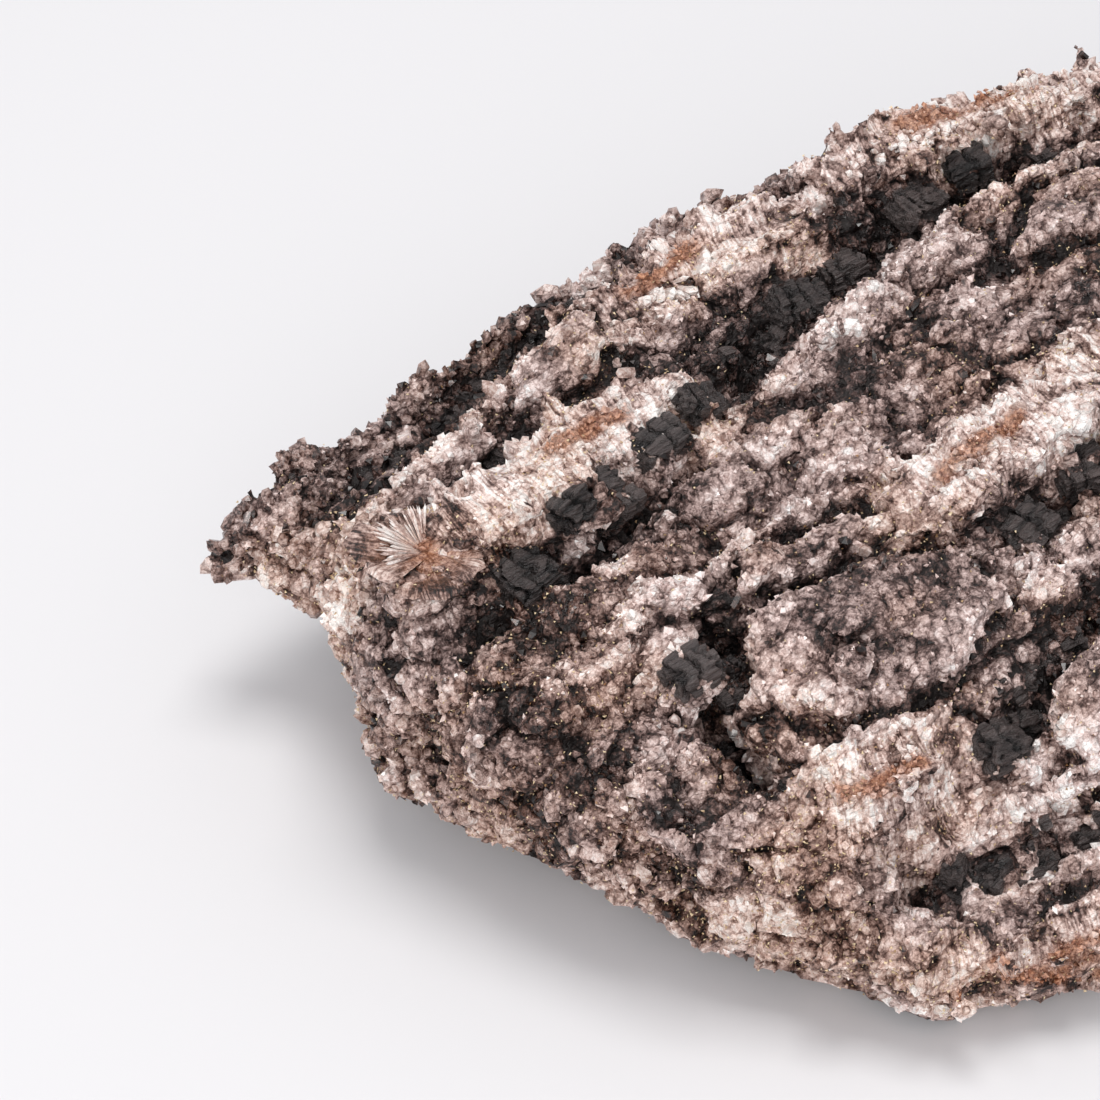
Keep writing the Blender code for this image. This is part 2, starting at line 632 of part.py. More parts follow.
def grow_together(body_mesh, crystals):
    """One closed body of the rock and its crystals."""
    body = object_with(body_mesh, "body")
    grown = object_with(crystals, "crystals")
    union = body.modifiers.new("grown together", "BOOLEAN")
    union.operation = "UNION"
    union.solver = "EXACT"
    union.use_self = True
    union.object = grown
    result = evaluated_copy(body)
    drop(body)
    drop(grown)
    return result


def tidy_mesh(mesh):
    """Triangles only, a level flat spot, in metres, with the box's middle over the origin."""
    work = bmesh.new()
    work.from_mesh(mesh)
    bmesh.ops.triangulate(work, faces=work.faces)
    for vertex in work.verts:
        if vertex.co.z < FLAT_SPOT_BAND:
            vertex.co.z = 0.0
    low = Vector([min(v.co[i] for v in work.verts) for i in range(3)])
    high = Vector([max(v.co[i] for v in work.verts) for i in range(3)])
    shift = Vector((-(low.x + high.x) / 2, -(low.y + high.y) / 2, -low.z))
    bmesh.ops.translate(work, verts=work.verts, vec=shift)
    bmesh.ops.scale(work, verts=work.verts, vec=(MM, MM, MM))
    work.to_mesh(mesh)
    work.free()
    print("shift", tuple(round(v, 2) for v in shift), "triangles", len(mesh.polygons))


def stone_material():
    material = bpy.data.materials.new("petrified wood")
    material.use_nodes = True
    shader = material.node_tree.nodes["Principled BSDF"]
    shader.inputs["Base Color"].default_value = STONE_COLOUR
    shader.inputs["Roughness"].default_value = STONE_ROUGHNESS
    shader.inputs["Metallic"].default_value = 0.0
    return material


def main():
    for old in list(bpy.data.objects):
        bpy.data.objects.remove(old, do_unlink=True)
    blank = object_with(blank_mesh(), "blank")
    dense = blank.modifiers.new("dense", "REMESH")
    dense.mode = "VOXEL"
    dense.voxel_size = VOXEL
    dense_mesh = evaluated_copy(blank)
    drop(blank)
    shape_surface(dense_mesh)
    body_mesh = thin_out(dense_mesh, BODY_FACETS)
    grown = grow_together(body_mesh, crystal_mesh(body_mesh))
    whole = thin_and_closed(grown)
    tidy_mesh(whole)
    whole.name = NAME
    specimen = object_with(whole, NAME)
    specimen.data.materials.clear()
    specimen.data.materials.append(stone_material())


main()
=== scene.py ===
# %% [markdown]
# Petrified wood with smoky quartz
#
# The specimen is a broken piece of silicified wood. Its grain runs along X. Pale quartz stands
# up in veins along the grain, each vein a comb of crystals on both sides of a rusty seam. The
# rest is covered with sugary and smoky quartz, and blocks of black wood sit in the grooves. The
# solid made in CAD is loaded first and stays where it is. Everything below is the finish that
# goes over it.

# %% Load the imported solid
import math
from types import SimpleNamespace

import bmesh
import bpy
import numpy as np
from mathutils import Matrix, Vector, noise
from mathutils.bvhtree import BVHTree


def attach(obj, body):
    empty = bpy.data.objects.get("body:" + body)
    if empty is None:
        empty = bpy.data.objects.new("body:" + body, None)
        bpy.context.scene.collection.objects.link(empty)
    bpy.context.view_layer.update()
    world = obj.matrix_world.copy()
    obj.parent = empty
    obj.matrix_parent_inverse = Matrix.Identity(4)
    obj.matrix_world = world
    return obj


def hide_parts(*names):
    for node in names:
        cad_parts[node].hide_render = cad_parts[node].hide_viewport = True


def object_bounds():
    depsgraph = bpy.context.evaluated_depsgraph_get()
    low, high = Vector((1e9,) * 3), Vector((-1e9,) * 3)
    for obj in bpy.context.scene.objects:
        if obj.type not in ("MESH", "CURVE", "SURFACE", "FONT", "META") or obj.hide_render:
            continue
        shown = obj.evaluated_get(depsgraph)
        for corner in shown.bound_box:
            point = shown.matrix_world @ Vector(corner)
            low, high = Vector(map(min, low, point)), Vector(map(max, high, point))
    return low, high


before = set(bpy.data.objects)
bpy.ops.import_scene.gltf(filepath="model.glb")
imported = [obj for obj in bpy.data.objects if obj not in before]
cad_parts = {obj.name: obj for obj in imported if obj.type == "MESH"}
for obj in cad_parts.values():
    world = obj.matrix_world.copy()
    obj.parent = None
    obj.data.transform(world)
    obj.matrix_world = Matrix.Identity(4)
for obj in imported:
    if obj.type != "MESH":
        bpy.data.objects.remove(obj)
CAD_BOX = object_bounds()
NODE = "petrified_wood"
MM = 0.001
draw = np.random.default_rng(11)
print("solid box", [[round(v / MM, 1) for v in corner] for corner in CAD_BOX])

# %% [markdown]
# The camera comes first, because every later choice is judged through it. The picture was taken
# close up from above the near end, with a long lens. Its angle is set by the direction from the
# specimen back to the lens, and its distance by the width of the field at the middle of the view.

# %% Camera at the picture's angle
VIEW_TURN = math.radians(-38.0)
VIEW_HEIGHT = math.radians(42.0)
VIEW_ANGLE = math.radians(14.0)
FIELD_WIDTH = 92.0 * MM
LOOK_AT = Vector((-45.2, 11.5, 26.0)) * MM

toward_lens = Vector((
    math.sin(VIEW_TURN) * math.cos(VIEW_HEIGHT),
    -math.cos(VIEW_TURN) * math.cos(VIEW_HEIGHT),
    math.sin(VIEW_HEIGHT),
))
view_right = Vector((math.cos(VIEW_TURN), math.sin(VIEW_TURN), 0.0))
view_up = toward_lens.cross(view_right)
lens_distance = FIELD_WIDTH / 2 / math.tan(VIEW_ANGLE / 2)


def linked(data, name):
    """A new object in the scene that holds this data."""
    made = bpy.data.objects.new(name, data)
    bpy.context.scene.collection.objects.link(made)
    return made


lens = bpy.data.cameras.new("view")
lens.angle = VIEW_ANGLE
camera = linked(lens, "view")
turned = Matrix((view_right, view_up, toward_lens)).transposed().to_4x4()
camera.matrix_world = Matrix.Translation(LOOK_AT + toward_lens * lens_distance) @ turned
bpy.context.scene.camera = camera
print("lens", round(lens.lens, 1), "mm, at", round(lens_distance / MM), "mm")

# %% [markdown]
# Shader maths reads best as sums. The class Wire wraps one output of a node, so `1 - mask` or
# `a * b + c` adds the Math nodes for it. Paint is one material: its method `node` adds any other
# node from its type, its settings and the values or wires of its sockets.

# %% A small kit for node materials


class Wire:
    """One output of a node, which takes part in sums."""

    def __init__(self, paint, socket):
        self.paint = paint
        self.socket = socket

    def other(self, output):
        """Another output of the same node."""
        return Wire(self.paint, self.socket.node.outputs[output])

    def sum(self, operation, first, second):
        return self.paint.node("Math", {"operation": operation}, {0: first, 1: second})

    def __add__(self, other):
        return self.sum("ADD", self, other)

    def __sub__(self, other):
        return self.sum("SUBTRACT", self, other)

    def __rsub__(self, other):
        return self.sum("SUBTRACT", other, self)

    def __mul__(self, other):
        return self.sum("MULTIPLY", self, other)

    __radd__ = __add__
    __rmul__ = __mul__


class Paint:
    """One material: its node tree, its shader and short ways to add nodes."""

    def __init__(self, name):
        self.material = bpy.data.materials.new(name)
        self.material.use_nodes = True
        self.tree = self.material.node_tree
        self.shader = self.tree.nodes["Principled BSDF"]

    def feed(self, socket, value):
        """Puts a wire, a colour or a plain value into a socket."""
        if isinstance(value, Wire):
            self.tree.links.new(value.socket, socket)
        elif isinstance(value, tuple) and len(value) == 3 and socket.type == "RGBA":
            socket.default_value = (*value, 1.0)
        else:
            socket.default_value = value

    def node(self, kind, settings=None, sockets=None, output=0):
        """A node of that type: its settings come first, then the values or wires it takes."""
        made = self.tree.nodes.new("ShaderNode" + kind)
        for key, value in (settings or {}).items():
            if key == "stops":
                for stop, (place, colour) in zip(self.stops(made, len(value)), value):
                    stop.position = place
                    stop.color = (*colour, 1.0)
            else:
                setattr(made, key, value)
        for key, value in (sockets or {}).items():
            self.feed(made.inputs[key], value)
        return Wire(self, made.outputs[output])

    def stops(self, ramp, count):
        """The stops of a ramp, as many as asked for."""
        elements = ramp.color_ramp.elements
        while len(elements) < count:
            elements.new(0.5)
        return elements

    def set(self, **values):
        """Sets the shader's own sockets: base_color becomes Base Color."""
        for key, value in values.items():
            socket = key.replace("_", " ").title().replace("Ior", "IOR")
            self.feed(self.shader.inputs[socket], value)

    def places(self):
        """The specimen's own coordinates, in millimetres."""
        here = self.node("TexCoord", output=3)
        return self.node("VectorMath", {"operation": "SCALE"}, {0: here, 3: 1.0 / MM})

    def stretched(self, vector, along, across):
        """The same coordinates, stretched along the grain."""
        scale = (1.0 / along, 1.0 / across, 1.0 / across)
        return self.node("VectorMath", {"operation": "MULTIPLY"}, {0: vector, 1: scale})

    def clouds(self, vector, scale, detail=3.0, rough=0.55):
        """Soft noise between 0 and 1, with that many swells a millimetre."""
        sockets = {"Vector": vector, "Scale": scale, "Detail": detail, "Roughness": rough}
        return self.node("TexNoise", {}, sockets)

    def step(self, value, low, high):
        """0 below low, 1 above high and smooth between them."""
        sockets = {"Value": value, "From Min": low, "From Max": high}
        return self.node("MapRange", {"interpolation_type": "SMOOTHSTEP"}, sockets)

    def mix(self, first, second, share):
        """A colour between two others."""
        sockets = {0: share, 6: first, 7: second}
        return self.node("Mix", {"data_type": "RGBA"}, sockets, output=2)

    def channels(self, colour):
        """The red, green and blue of a colour, as three values."""
        red = self.node("SeparateColor", {}, {"Color": colour})
        return red, red.other(1), red.other(2)

    def ramp(self, value, stops):
        """A run of colours, read at that value."""
        return self.node("ValToRGB", {"stops": stops}, {"Fac": value})

    def mark(self, name):
        """A colour that the mesh carries at its points."""
        return self.node("Attribute", {"attribute_name": name})

    def bump(self, height, strength, distance):
        """Small relief by shading alone, of that distance in metres."""
        sockets = {"Height": height, "Strength": strength, "Distance": distance}
        self.feed(self.shader.inputs["Normal"], self.node("Bump", {}, sockets))


def tint(red, green, blue):
    """A colour written as on a screen, 0 to 255, for a shader that works in linear light."""
    return tuple((v / 255) ** 2.2 for v in (red, green, blue))


print("shader kit ready")

# %% [markdown]
# The light in the picture is one broad soft source nearly overhead, a little towards the far end,
# over a seamless white surface. Shadows are short and soft and lie close under the lower left edge,
# because a white card in front throws light back into them. Two area lights stand for the softbox
# and the card, and a bright plain world for the white room. The floor is staged, so it isn't part
# of the object.

# %% Floor and light
# Each light: its direction from the specimen, its size in metres and its power in watts.
SOFTBOX = (Vector((0.09, 0.08, 0.99)), 0.28, 1.9)
CARD = (Vector((-0.72, -0.60, 0.40)), 0.60, 2.0)
LIGHT_DISTANCE = 0.60
LIGHT_COLOUR = (1.0, 0.985, 0.97)
ROOM_COLOUR = (0.97, 0.975, 1.0, 1.0)
ROOM_STRENGTH = 0.66
FLOOR_SIZE = 8.0
FLOOR_COLOUR = (0.74, 0.735, 0.75)

floor_paint = Paint("white sweep")
floor_paint.set(base_color=FLOOR_COLOUR, roughness=0.85)
bpy.ops.mesh.primitive_plane_add(size=FLOOR_SIZE)
floor = bpy.context.object
floor.name = "floor"
floor.data.materials.append(floor_paint.material)

for name, (toward, size, power) in {"softbox": SOFTBOX, "card": CARD}.items():
    panel = bpy.data.lights.new(name, "AREA")
    panel.size = size
    panel.energy = power
    panel.color = LIGHT_COLOUR
    light = linked(panel, name)
    light.location = LOOK_AT + toward.normalized() * LIGHT_DISTANCE
    light.rotation_euler = toward.to_track_quat("Z", "Y").to_euler()

world = bpy.data.worlds.new("studio")
bpy.context.scene.world = world
world.use_nodes = True
sky = world.node_tree.nodes["Background"]
sky.inputs["Color"].default_value = ROOM_COLOUR
sky.inputs["Strength"].default_value = ROOM_STRENGTH
bpy.context.scene.view_settings.view_transform = "Standard"
print("floor", FLOOR_SIZE, "m, lights", [lamp.name for lamp in bpy.data.lights])

# %% [markdown]
# The veins, grooves and ribs are landmarks of the solid, so their lines are repeated here, in
# millimetres. Every finish asks them the same question: how far is a point from this line, seen
# from above, and how far along it? numpy answers that for all points of a mesh at once. Noise
# makes the edges ragged, as a drawn line would look painted on.

# %% Landmarks of the specimen
# Each vein: its line, half its width, how far its blades stand, and the rusty share of its seam.
VEINS = [
    ([(-57, 15.2), (-50, 16.3), (-42, 17.6), (-35, 18.0), (-28, 16.8)], 4.6, 3.6, (0.54, 0.86)),
    ([(-27, 29.8), (-20, 30.4), (-13, 30.2), (-7, 28.8)], 4.2, 2.8, (0.22, 0.66)),
    ([(3, 31.2), (11, 30.0), (21, 28.0), (32, 26.6)], 3.6, 2.6, (0.20, 0.72)),
    ([(-19, -5.2), (-11, -4.8), (-3, -4.6), (5, -2.6)], 4.4, 2.8, (0.06, 0.50)),
    ([(-42.4, -21.0), (-38.5, -22.6), (-35, -23.8), (-31.5, -23.2)], 3.2, 2.6, (0.08, 0.76)),
    ([(-40, -34.6), (-33, -37.0), (-25, -38.8), (-12, -40.4)], 2.2, 1.8, (0.02, 0.95)),
    ([(17, -10), (27, -8.6), (38, -5.6)], 4.2, 2.8, (0.20, 0.75)),
    ([(30, 13.6), (42, 14.6), (53, 12.0)], 4.0, 2.6, (0.25, 0.80)),
    ([(2, -26.4), (14, -27.6), (27, -24.8)], 3.8, 2.4, (0.15, 0.70)),
]
ROSETTE = (-55.4, 15.3)
SEAM_FADE = 0.03
# Each groove and rib: its line and half its width.
GROOVES = [
    ([(-54, 10.6), (-46, 11.0), (-38, 12.6), (-31, 13.2), (-23, 16.4)], 2.6),
    ([(-23, 16.4), (-15, 20.0), (-6, 22.8), (4, 24.2), (14, 24.8), (26, 23.2)], 3.0),
    ([(-49, 33.4), (-43, 33.6), (-33, 34.8), (-20, 35.6)], 1.2),
    ([(-55, 20.8), (-47, 22.6), (-38, 24.2)], 1.2),
    ([(-39, -3.4), (-43.8, -8.8), (-44.0, -15.6)], 1.9),
    ([(-15, -11.4), (-4, -9.6), (12, -6.0), (24, -3.6)], 2.0),
    ([(-32, -25.4), (-25, -23.0), (-18, -20.2), (-4, -19.4), (12, -21.0)], 1.7),
    ([(-38, -26.4), (-31, -29.4), (-18, -31.6)], 0.9),
    ([(26, 8.6), (42, 8.6), (56, 6.6)], 2.4),
    ([(30, -15.0), (42, -18.6), (50, -17.0)], 2.4),
]
RIBS = [
    ([(-59, 24.2), (-49, 27.6), (-37, 29.0), (-31, 30.0)], 1.6),
    ([(-53, 0.4), (-45, 0.6), (-35, 1.8), (-27, 1.6), (-18, 3.2)], 1.8),
    ([(-53, -10.2), (-46, -9.6)], 1.8),
    ([(-24, 13.2), (-8, 17.0), (3, 18.4), (22, 19.6)], 2.4),
    ([(10, 1.6), (28, 2.6), (48, 1.4)], 2.2),
    ([(-16, -15.4), (2, -13.6), (18, -16.6)], 2.0),
    ([(32, -15.4), (46, -13.0)], 2.2),
    ([(34, 21.6), (50, 20.8)], 2.0),
]


def smoothstep(low, high, value):
    """0 below low, 1 above high and smooth between them."""
    t = np.clip((value - low) / (high - low), 0.0, 1.0)
    return t * t * (3.0 - 2.0 * t)


def line_distance(x, y, line):
    """Distance from a line seen from above, the share of the way along it, and its length."""
    best = np.full(len(x), 1e9)
    along = np.zeros(len(x))
    done = 0.0
    for (ax, ay), (bx, by) in zip(line[:-1], line[1:]):
        run = math.hypot(bx - ax, by - ay)
        t = np.clip(((x - ax) * (bx - ax) + (y - ay) * (by - ay)) / run**2, 0.0, 1.0)
        away = np.hypot(x - ax - t * (bx - ax), y - ay - t * (by - ay))
        nearer = away < best
        best = np.where(nearer, away, best)
        along = np.where(nearer, done + t * run, along)
        done += run
    return best, along / done, done


def wander(points, along, across, shift):
    """Smooth noise between -1 and 1 at each point, stretched along the grain."""
    scale = np.array([1.0 / along, 1.0 / across, 1.0 / across])
    places = points * scale + shift * 17.3
    return np.array([noise.noise(Vector(place)) for place in places])


def zones_of(points, facing_up):
    """How far each point belongs to quartz vein, rusty seam, black groove and pale rib."""
    x, y = points[:, 0], points[:, 1]
    upper = smoothstep(-0.25, 0.15, facing_up)
    ragged = wander(points, 2.4, 2.4, 31)
    vein = np.zeros(len(x))
    seam = np.zeros(len(x))
    for line, half_width, _, (first, last) in VEINS:
        away, share, _ = line_distance(x, y, line)
        vein = np.maximum(vein, 1.0 - smoothstep(half_width, half_width + 1.0, away - ragged))
        inside = smoothstep(first - SEAM_FADE, first + SEAM_FADE, share)
        inside = inside * (1.0 - smoothstep(last - SEAM_FADE, last + SEAM_FADE, share))
        seam = np.maximum(seam, inside * (1.0 - smoothstep(0.4, 1.0, away + 0.7 * ragged)))
    groove = np.zeros(len(x))
    for line, half_width in GROOVES:
        away = line_distance(x, y, line)[0] + ragged
        groove = np.maximum(groove, 1.0 - smoothstep(half_width * 0.6, half_width * 1.3, away))
    rib = np.zeros(len(x))
    for line, half_width in RIBS:
        away = line_distance(x, y, line)[0] + ragged
        rib = np.maximum(rib, 1.0 - smoothstep(half_width * 0.5, half_width * 1.3, away))
    groove = groove * (1.0 - vein)
    core = 1.0 - smoothstep(0.5, 1.4, np.hypot(x - ROSETTE[0], y - ROSETTE[1]) + 0.5 * ragged)
    seam = np.maximum(seam, core)
    return vein * upper, seam * upper, groove * upper, rib * upper * (1.0 - vein)


print(len(VEINS), "veins,", len(GROOVES), "grooves and", len(RIBS), "ribs")

# %% [markdown]
# The body of the stone stands in for the CAD solid, with the same form and a finer skin. The
# solid has flat facets 2 or 3 mm wide, while the real surface is rough down to a fraction of a
# millimetre. A sculpted mesh would do, but a voxel remesh of the solid, moved in and out by noise,
# keeps it exactly where the CAD has it and is repeatable. Three rounded lumps join it first, to
# narrow the deep slot beside the largest slab.

# %% Even mesh of the solid
BODY_VOXEL = 0.5
# Lumps of stone that narrow the deep slot beside the largest slab: middle and half sizes.
FILLS = [
    ((-40.3, -12.4, 19.6), (2.6, 4.4, 4.9)), ((-41.2, -17.2, 18.2), (2.6, 3.0, 4.4)),
    ((-39.4, -6.6, 19.4), (2.2, 2.6, 4.8)),
]


def evaluated_mesh(source):
    """The mesh of an object as its modifiers leave it."""
    bpy.context.view_layer.update()
    shape = source.evaluated_get(bpy.context.evaluated_depsgraph_get())
    return bpy.data.meshes.new_from_object(shape)


def remeshed(mesh, voxel):
    """The same closed form in even quads of about that size."""
    rough = linked(mesh, "rough")
    even = rough.modifiers.new("even", "REMESH")
    even.mode = "VOXEL"
    even.voxel_size = voxel * MM
    result = evaluated_mesh(rough)
    bpy.data.objects.remove(rough, do_unlink=True)
    return result


def points_of(mesh):
    """The points of a mesh in millimetres, and their normals."""
    co = np.zeros(len(mesh.vertices) * 3, np.float32)
    no = np.zeros(len(mesh.vertices) * 3, np.float32)
    mesh.vertices.foreach_get("co", co)
    mesh.vertex_normals.foreach_get("vector", no)
    return co.reshape(-1, 3).astype(float) / MM, no.reshape(-1, 3).astype(float)


def with_fills(mesh):
    """The solid together with the lumps that narrow the slot. The remesh makes one skin of them."""
    form = bmesh.new()
    form.from_mesh(mesh)
    for middle, half_sizes in FILLS:
        place = Matrix.Translation(Vector(middle) * MM) @ Matrix.Diagonal((*half_sizes, 1.0))
        bmesh.ops.create_icosphere(form, subdivisions=3, radius=MM, matrix=place)
    joined = bpy.data.meshes.new("joined")
    form.to_mesh(joined)
    form.free()
    return joined


body_mesh = remeshed(with_fills(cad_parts[NODE].data), BODY_VOXEL)
points, normals = points_of(body_mesh)
print("even mesh of", len(points), "points")

# %% [markdown]
# Before anything moves, each point learns what it belongs to: vein, seam, groove or rib from the
# landmarks, and broken end, flank, foot or underside from the way it faces and its height. A
# ledge also has a rim, painted paler for its white sugar and the light it catches, and a
# crevice around it, painted dark as shade. A painted mask would do too, but these are
# sums, so they follow the landmarks when those change.

# %% What each point belongs to
# Slabs of grain that stand as ledges: their corners.
LEDGES = [
    [(-42, -11), (-38.5, -5.8), (-27, -6.6), (-20, -11), (-19, -17), (-27, -19.5), (-38, -17)],
    [(-37.5, -3.0), (-33, 0.0), (-23, -1.4), (-23, -5.0), (-31, -5.6)],
    [(-22, -24), (-14, -22.6), (-13, -28), (-21, -30)],
    [(-37, 27), (-33, 31.6), (-27, 31), (-26, 26.4), (-32, 24.8)],
    [(6, 12), (14, 16.4), (26, 15.4), (27, 10.4), (14, 8.8)],
    [(36, -8), (41, -2.6), (54, -3.4), (54, -10.6), (42, -12)],
]


def inside_distance(x, y, corners):
    """How far each point lies inside a convex patch, and less than nought outside it."""
    depth = np.full(len(x), 1e9)
    ring = np.array(corners, float)
    middle = ring.mean(axis=0)
    for start, end in zip(ring, np.roll(ring, -1, axis=0)):
        side = np.array([start[1] - end[1], end[0] - start[0]])
        side *= np.sign(side @ (middle - start)) / np.linalg.norm(side)
        depth = np.minimum(depth, (x - start[0]) * side[0] + (y - start[1]) * side[1])
    return depth


vein, seam, groove, rib = zones_of(points, normals[:, 2])
under = smoothstep(0.3, 0.8, -normals[:, 2])
height = points[:, 2]
sides = 1.0 - np.abs(normals[:, 2])
broken_end = smoothstep(0.25, 0.7, np.abs(normals[:, 0])) * sides
low_end = smoothstep(-44.0, -52.0, points[:, 0]) * (1.0 - smoothstep(24.0, 28.0, height))
low_end = low_end * smoothstep(9.0, 14.0, height)
vein = vein * (1.0 - 0.6 * broken_end) * (1.0 - low_end)
foot = sides * (1.0 - smoothstep(2.5, 5.0, height + 2.0 * wander(points, 5.0, 5.0, 33)))
flank = sides * (1.0 - smoothstep(11.0, 17.0, height)) - foot

ledge = np.zeros(len(points))
rim = np.zeros(len(points))
crevice = np.zeros(len(points))
ragged = wander(points, 2.6, 2.6, 32)
for patch in LEDGES:
    depth = inside_distance(points[:, 0], points[:, 1], patch) + 0.9 * ragged
    ledge = np.maximum(ledge, smoothstep(0.0, 1.2, depth))
    rim = np.maximum(rim, smoothstep(-0.2, 0.4, depth) * (1.0 - smoothstep(1.2, 2.6, depth)))
    cleft = smoothstep(-1.6, -0.8, depth) * (1.0 - smoothstep(-0.5, 0.1, depth))
    crevice = np.maximum(crevice, cleft)
top_side = smoothstep(0.1, 0.5, normals[:, 2])
ledge, rim, crevice = ledge * top_side, rim * top_side, crevice * top_side
print("in veins", round(100 * vein.mean()), "%, in grooves", round(100 * groove.mean()), "%")

# %% [markdown]
# The relief is a Voronoi pattern at three sizes, in millimetres. Its cells are grains, each with a
# flat face of its own tilt, as in stone that has broken between its crystals. Plain noise would
# look like worn stone. Fibres of the wood show in the grooves, ledges rise and crevices sink, and
# the points that the specimen rests on stay where they are.

# %% Relief of broken grains
LUMP_SIZE = 4.8
GRAIN_SIZE = 2.1
BIT_SIZE = 1.25
DEEPEST = -1.8
HIGHEST = 0.8
RESTING_HEIGHT = 0.35


def broken_grains(points, size, shift, edge, stretch=1.0):
    """Grains of that size: each one's tilted face, its dome, its own shade and its edges."""
    rows = []
    for place in points / (size * stretch, size, size) + shift * 5.3:
        spot = Vector(place)
        (near, next_near, *_), (middle, *_) = noise.voronoi(spot)
        own = noise.cell_vector(middle * 91.7)
        lean = noise.cell_vector(middle * 57.3) - Vector((0.5, 0.5, 0.5))
        tilt = lean.dot(spot - middle) + (own.x - 0.5) * 0.3
        rows.append((tilt * size, (0.45 - near) * size, own.y, next_near - near))
    tilt, dome, shade, gap = np.array(rows).T
    return tilt, dome, shade, smoothstep(0.0, edge, gap)


lump_tilt, lump_dome, lump_shade, lump_top = broken_grains(points, LUMP_SIZE, 1, 0.16, 1.7)
grain_tilt, grain_dome, grain_shade, grain_top = broken_grains(points, GRAIN_SIZE, 2, 0.3, 1.3)
bit_tilt, _, bit_shade, _ = broken_grains(points, BIT_SIZE, 3, 0.3)
fibres = wander(points, 7.0, 0.8, 4)
rose = np.hypot(points[:, 0] - ROSETTE[0], points[:, 1] - ROSETTE[1])
rose = (1.0 - smoothstep(4.2, 5.4, rose)) * smoothstep(0.0, 0.4, normals[:, 2])
relief = (lump_tilt * 0.12 + lump_dome * 0.30 + (lump_top - 0.9) * 0.8) * (1.0 - 0.8 * ledge)
relief = relief + grain_tilt * 0.22 + grain_dome * 0.16 + (grain_top - 0.85) * 0.35
relief = relief * (1.0 - 0.6 * vein) * (1.0 - 0.5 * ledge) + bit_tilt * 0.30
relief = relief + fibres * 0.4 * groove - 0.35 * vein - 1.3 * crevice + 0.8 * ledge
relief = np.clip(relief * (1.0 - 0.7 * under), DEEPEST, HIGHEST + 0.8 * ledge)
resting = points[:, 2] < RESTING_HEIGHT
points += normals * np.where(resting, 0.0, relief)[:, None]
points[:, 2] = np.maximum(points[:, 2], 0.0)
body_mesh.vertices.foreach_set("co", (points * MM).astype(np.float32).ravel())
body_mesh.update()
body_mesh.shade_flat()
print("relief from", round(relief.min(), 2), "to", round(relief.max(), 2), "mm")

# %% [markdown]
# Three values for each point are kept on the mesh for the material: how pale, how rusty and how
# golden brown it is. Veins and ribs are pale and grooves dark. The crevices around ledges and the
# edges between lumps and grains are darkened as painted shade, and the rims of ledges are painted
# paler for their white sugar and the light they catch. The patches and stains of this specimen
# come on top. A second set holds the place along a vein's seam and away from it, because the
# streaks of the comb run across the seam.

# %% Tones kept on the mesh
# Patches that are paler (above nought) or darker than the rest: x, y, half the length and width,
# the turn in degrees and how much.
PATCHES = [
    (-42.7, 8.0, 3.8, 1.5, 0, 0.26), (-49.8, 6.0, 7.5, 2.4, 0, -0.20),
    (-39.4, -14.4, 7.0, 2.2, 61, 0.18), (-46.0, -4.6, 6.0, 2.0, 10, 0.12),
    (-25.0, 5.6, 11.0, 4.0, 6, 0.14), (-10.0, 10.4, 9.0, 3.0, 6, -0.12),
    (-8.0, 14.4, 6.0, 1.6, 6, 0.12), (-28.0, -11.0, 9.0, 4.4, 6, -0.14),
    (-48.0, 32.0, 12.0, 3.0, 12, -0.12), (-30.0, 34.0, 12.0, 2.6, 6, -0.12),
    (-56.8, -2.0, 3.0, 7.0, 0, -0.14), (-60.5, 30.5, 6.0, 6.0, 0, 0.24),
    (-32.0, 23.4, 8.0, 2.2, 4, -0.20), (-23.0, -29.4, 12.0, 4.4, -6, 0.30),
    (-46.0, -19.0, 4.0, 3.0, 30, 0.10), (12.0, 4.0, 10.0, 3.0, 4, -0.12),
    (30.0, 18.0, 10.0, 3.0, 0, -0.10), (42.0, -24.0, 9.0, 3.4, 0, 0.12),
    (-18.0, 22.6, 9.0, 2.6, 10, -0.16), (-48.0, 22.0, 9.0, 2.4, 8, -0.14),
    (-26.0, -2.0, 8.0, 2.6, 4, -0.10), (-18.0, 30.0, 11.0, 3.6, 0, -0.14),
    (-9.0, -4.6, 11.0, 4.0, 4, 0.12), (-42.0, 17.2, 13.0, 4.4, 3, 0.12),
    (-57.0, 22.0, 9.0, 6.0, 20, 0.14), (-58.5, 13.5, 4.0, 3.2, 0, -0.12),
    (-7.0, 19.0, 8.0, 2.0, 8, -0.18),
]
# Places where the quartz is stained golden brown: x, y and radius.
STAINS = [(-50.5, 4.5, 9.0), (-57.5, 27.0, 9.0), (-44.0, -22.0, 6.0)]


def keep_colour(mesh, name, *values):
    """Three values for each point, kept on the mesh as one colour for the material."""
    kept = mesh.attributes.new(name, "FLOAT_COLOR", "POINT")
    rows = np.column_stack([*values, np.ones(len(values[0]))])
    kept.data.foreach_set("color", rows.astype(np.float32).ravel())


def keep_marks(mesh, tone, rust, warmth):
    """How pale, how rusty and how golden brown each point is."""
    keep_colour(mesh, "marks", np.clip(tone, 0.0, 1.0), rust, warmth)


def patch_tone(x, y):
    """How much paler or darker the patches make each point."""
    change = np.zeros(len(x))
    for px, py, length, width, turn, amount in PATCHES:
        c, s = math.cos(math.radians(turn)), math.sin(math.radians(turn))
        along, across = (x - px) * c + (y - py) * s, (y - py) * c - (x - px) * s
        far = np.hypot(along / length, across / width)
        change = change + amount * (1.0 - smoothstep(0.6, 1.2, far))
    return change


def comb_places(x, y):
    """Where each point lies in the nearest vein: along it and away from its seam."""
    along = np.zeros(len(x))
    away = np.full(len(x), 1e9)
    for line, *_ in VEINS:
        here, share, length = line_distance(x, y, line)
        along = np.where(here < away, share * length, along)
        away = np.minimum(away, here)
    return along, away


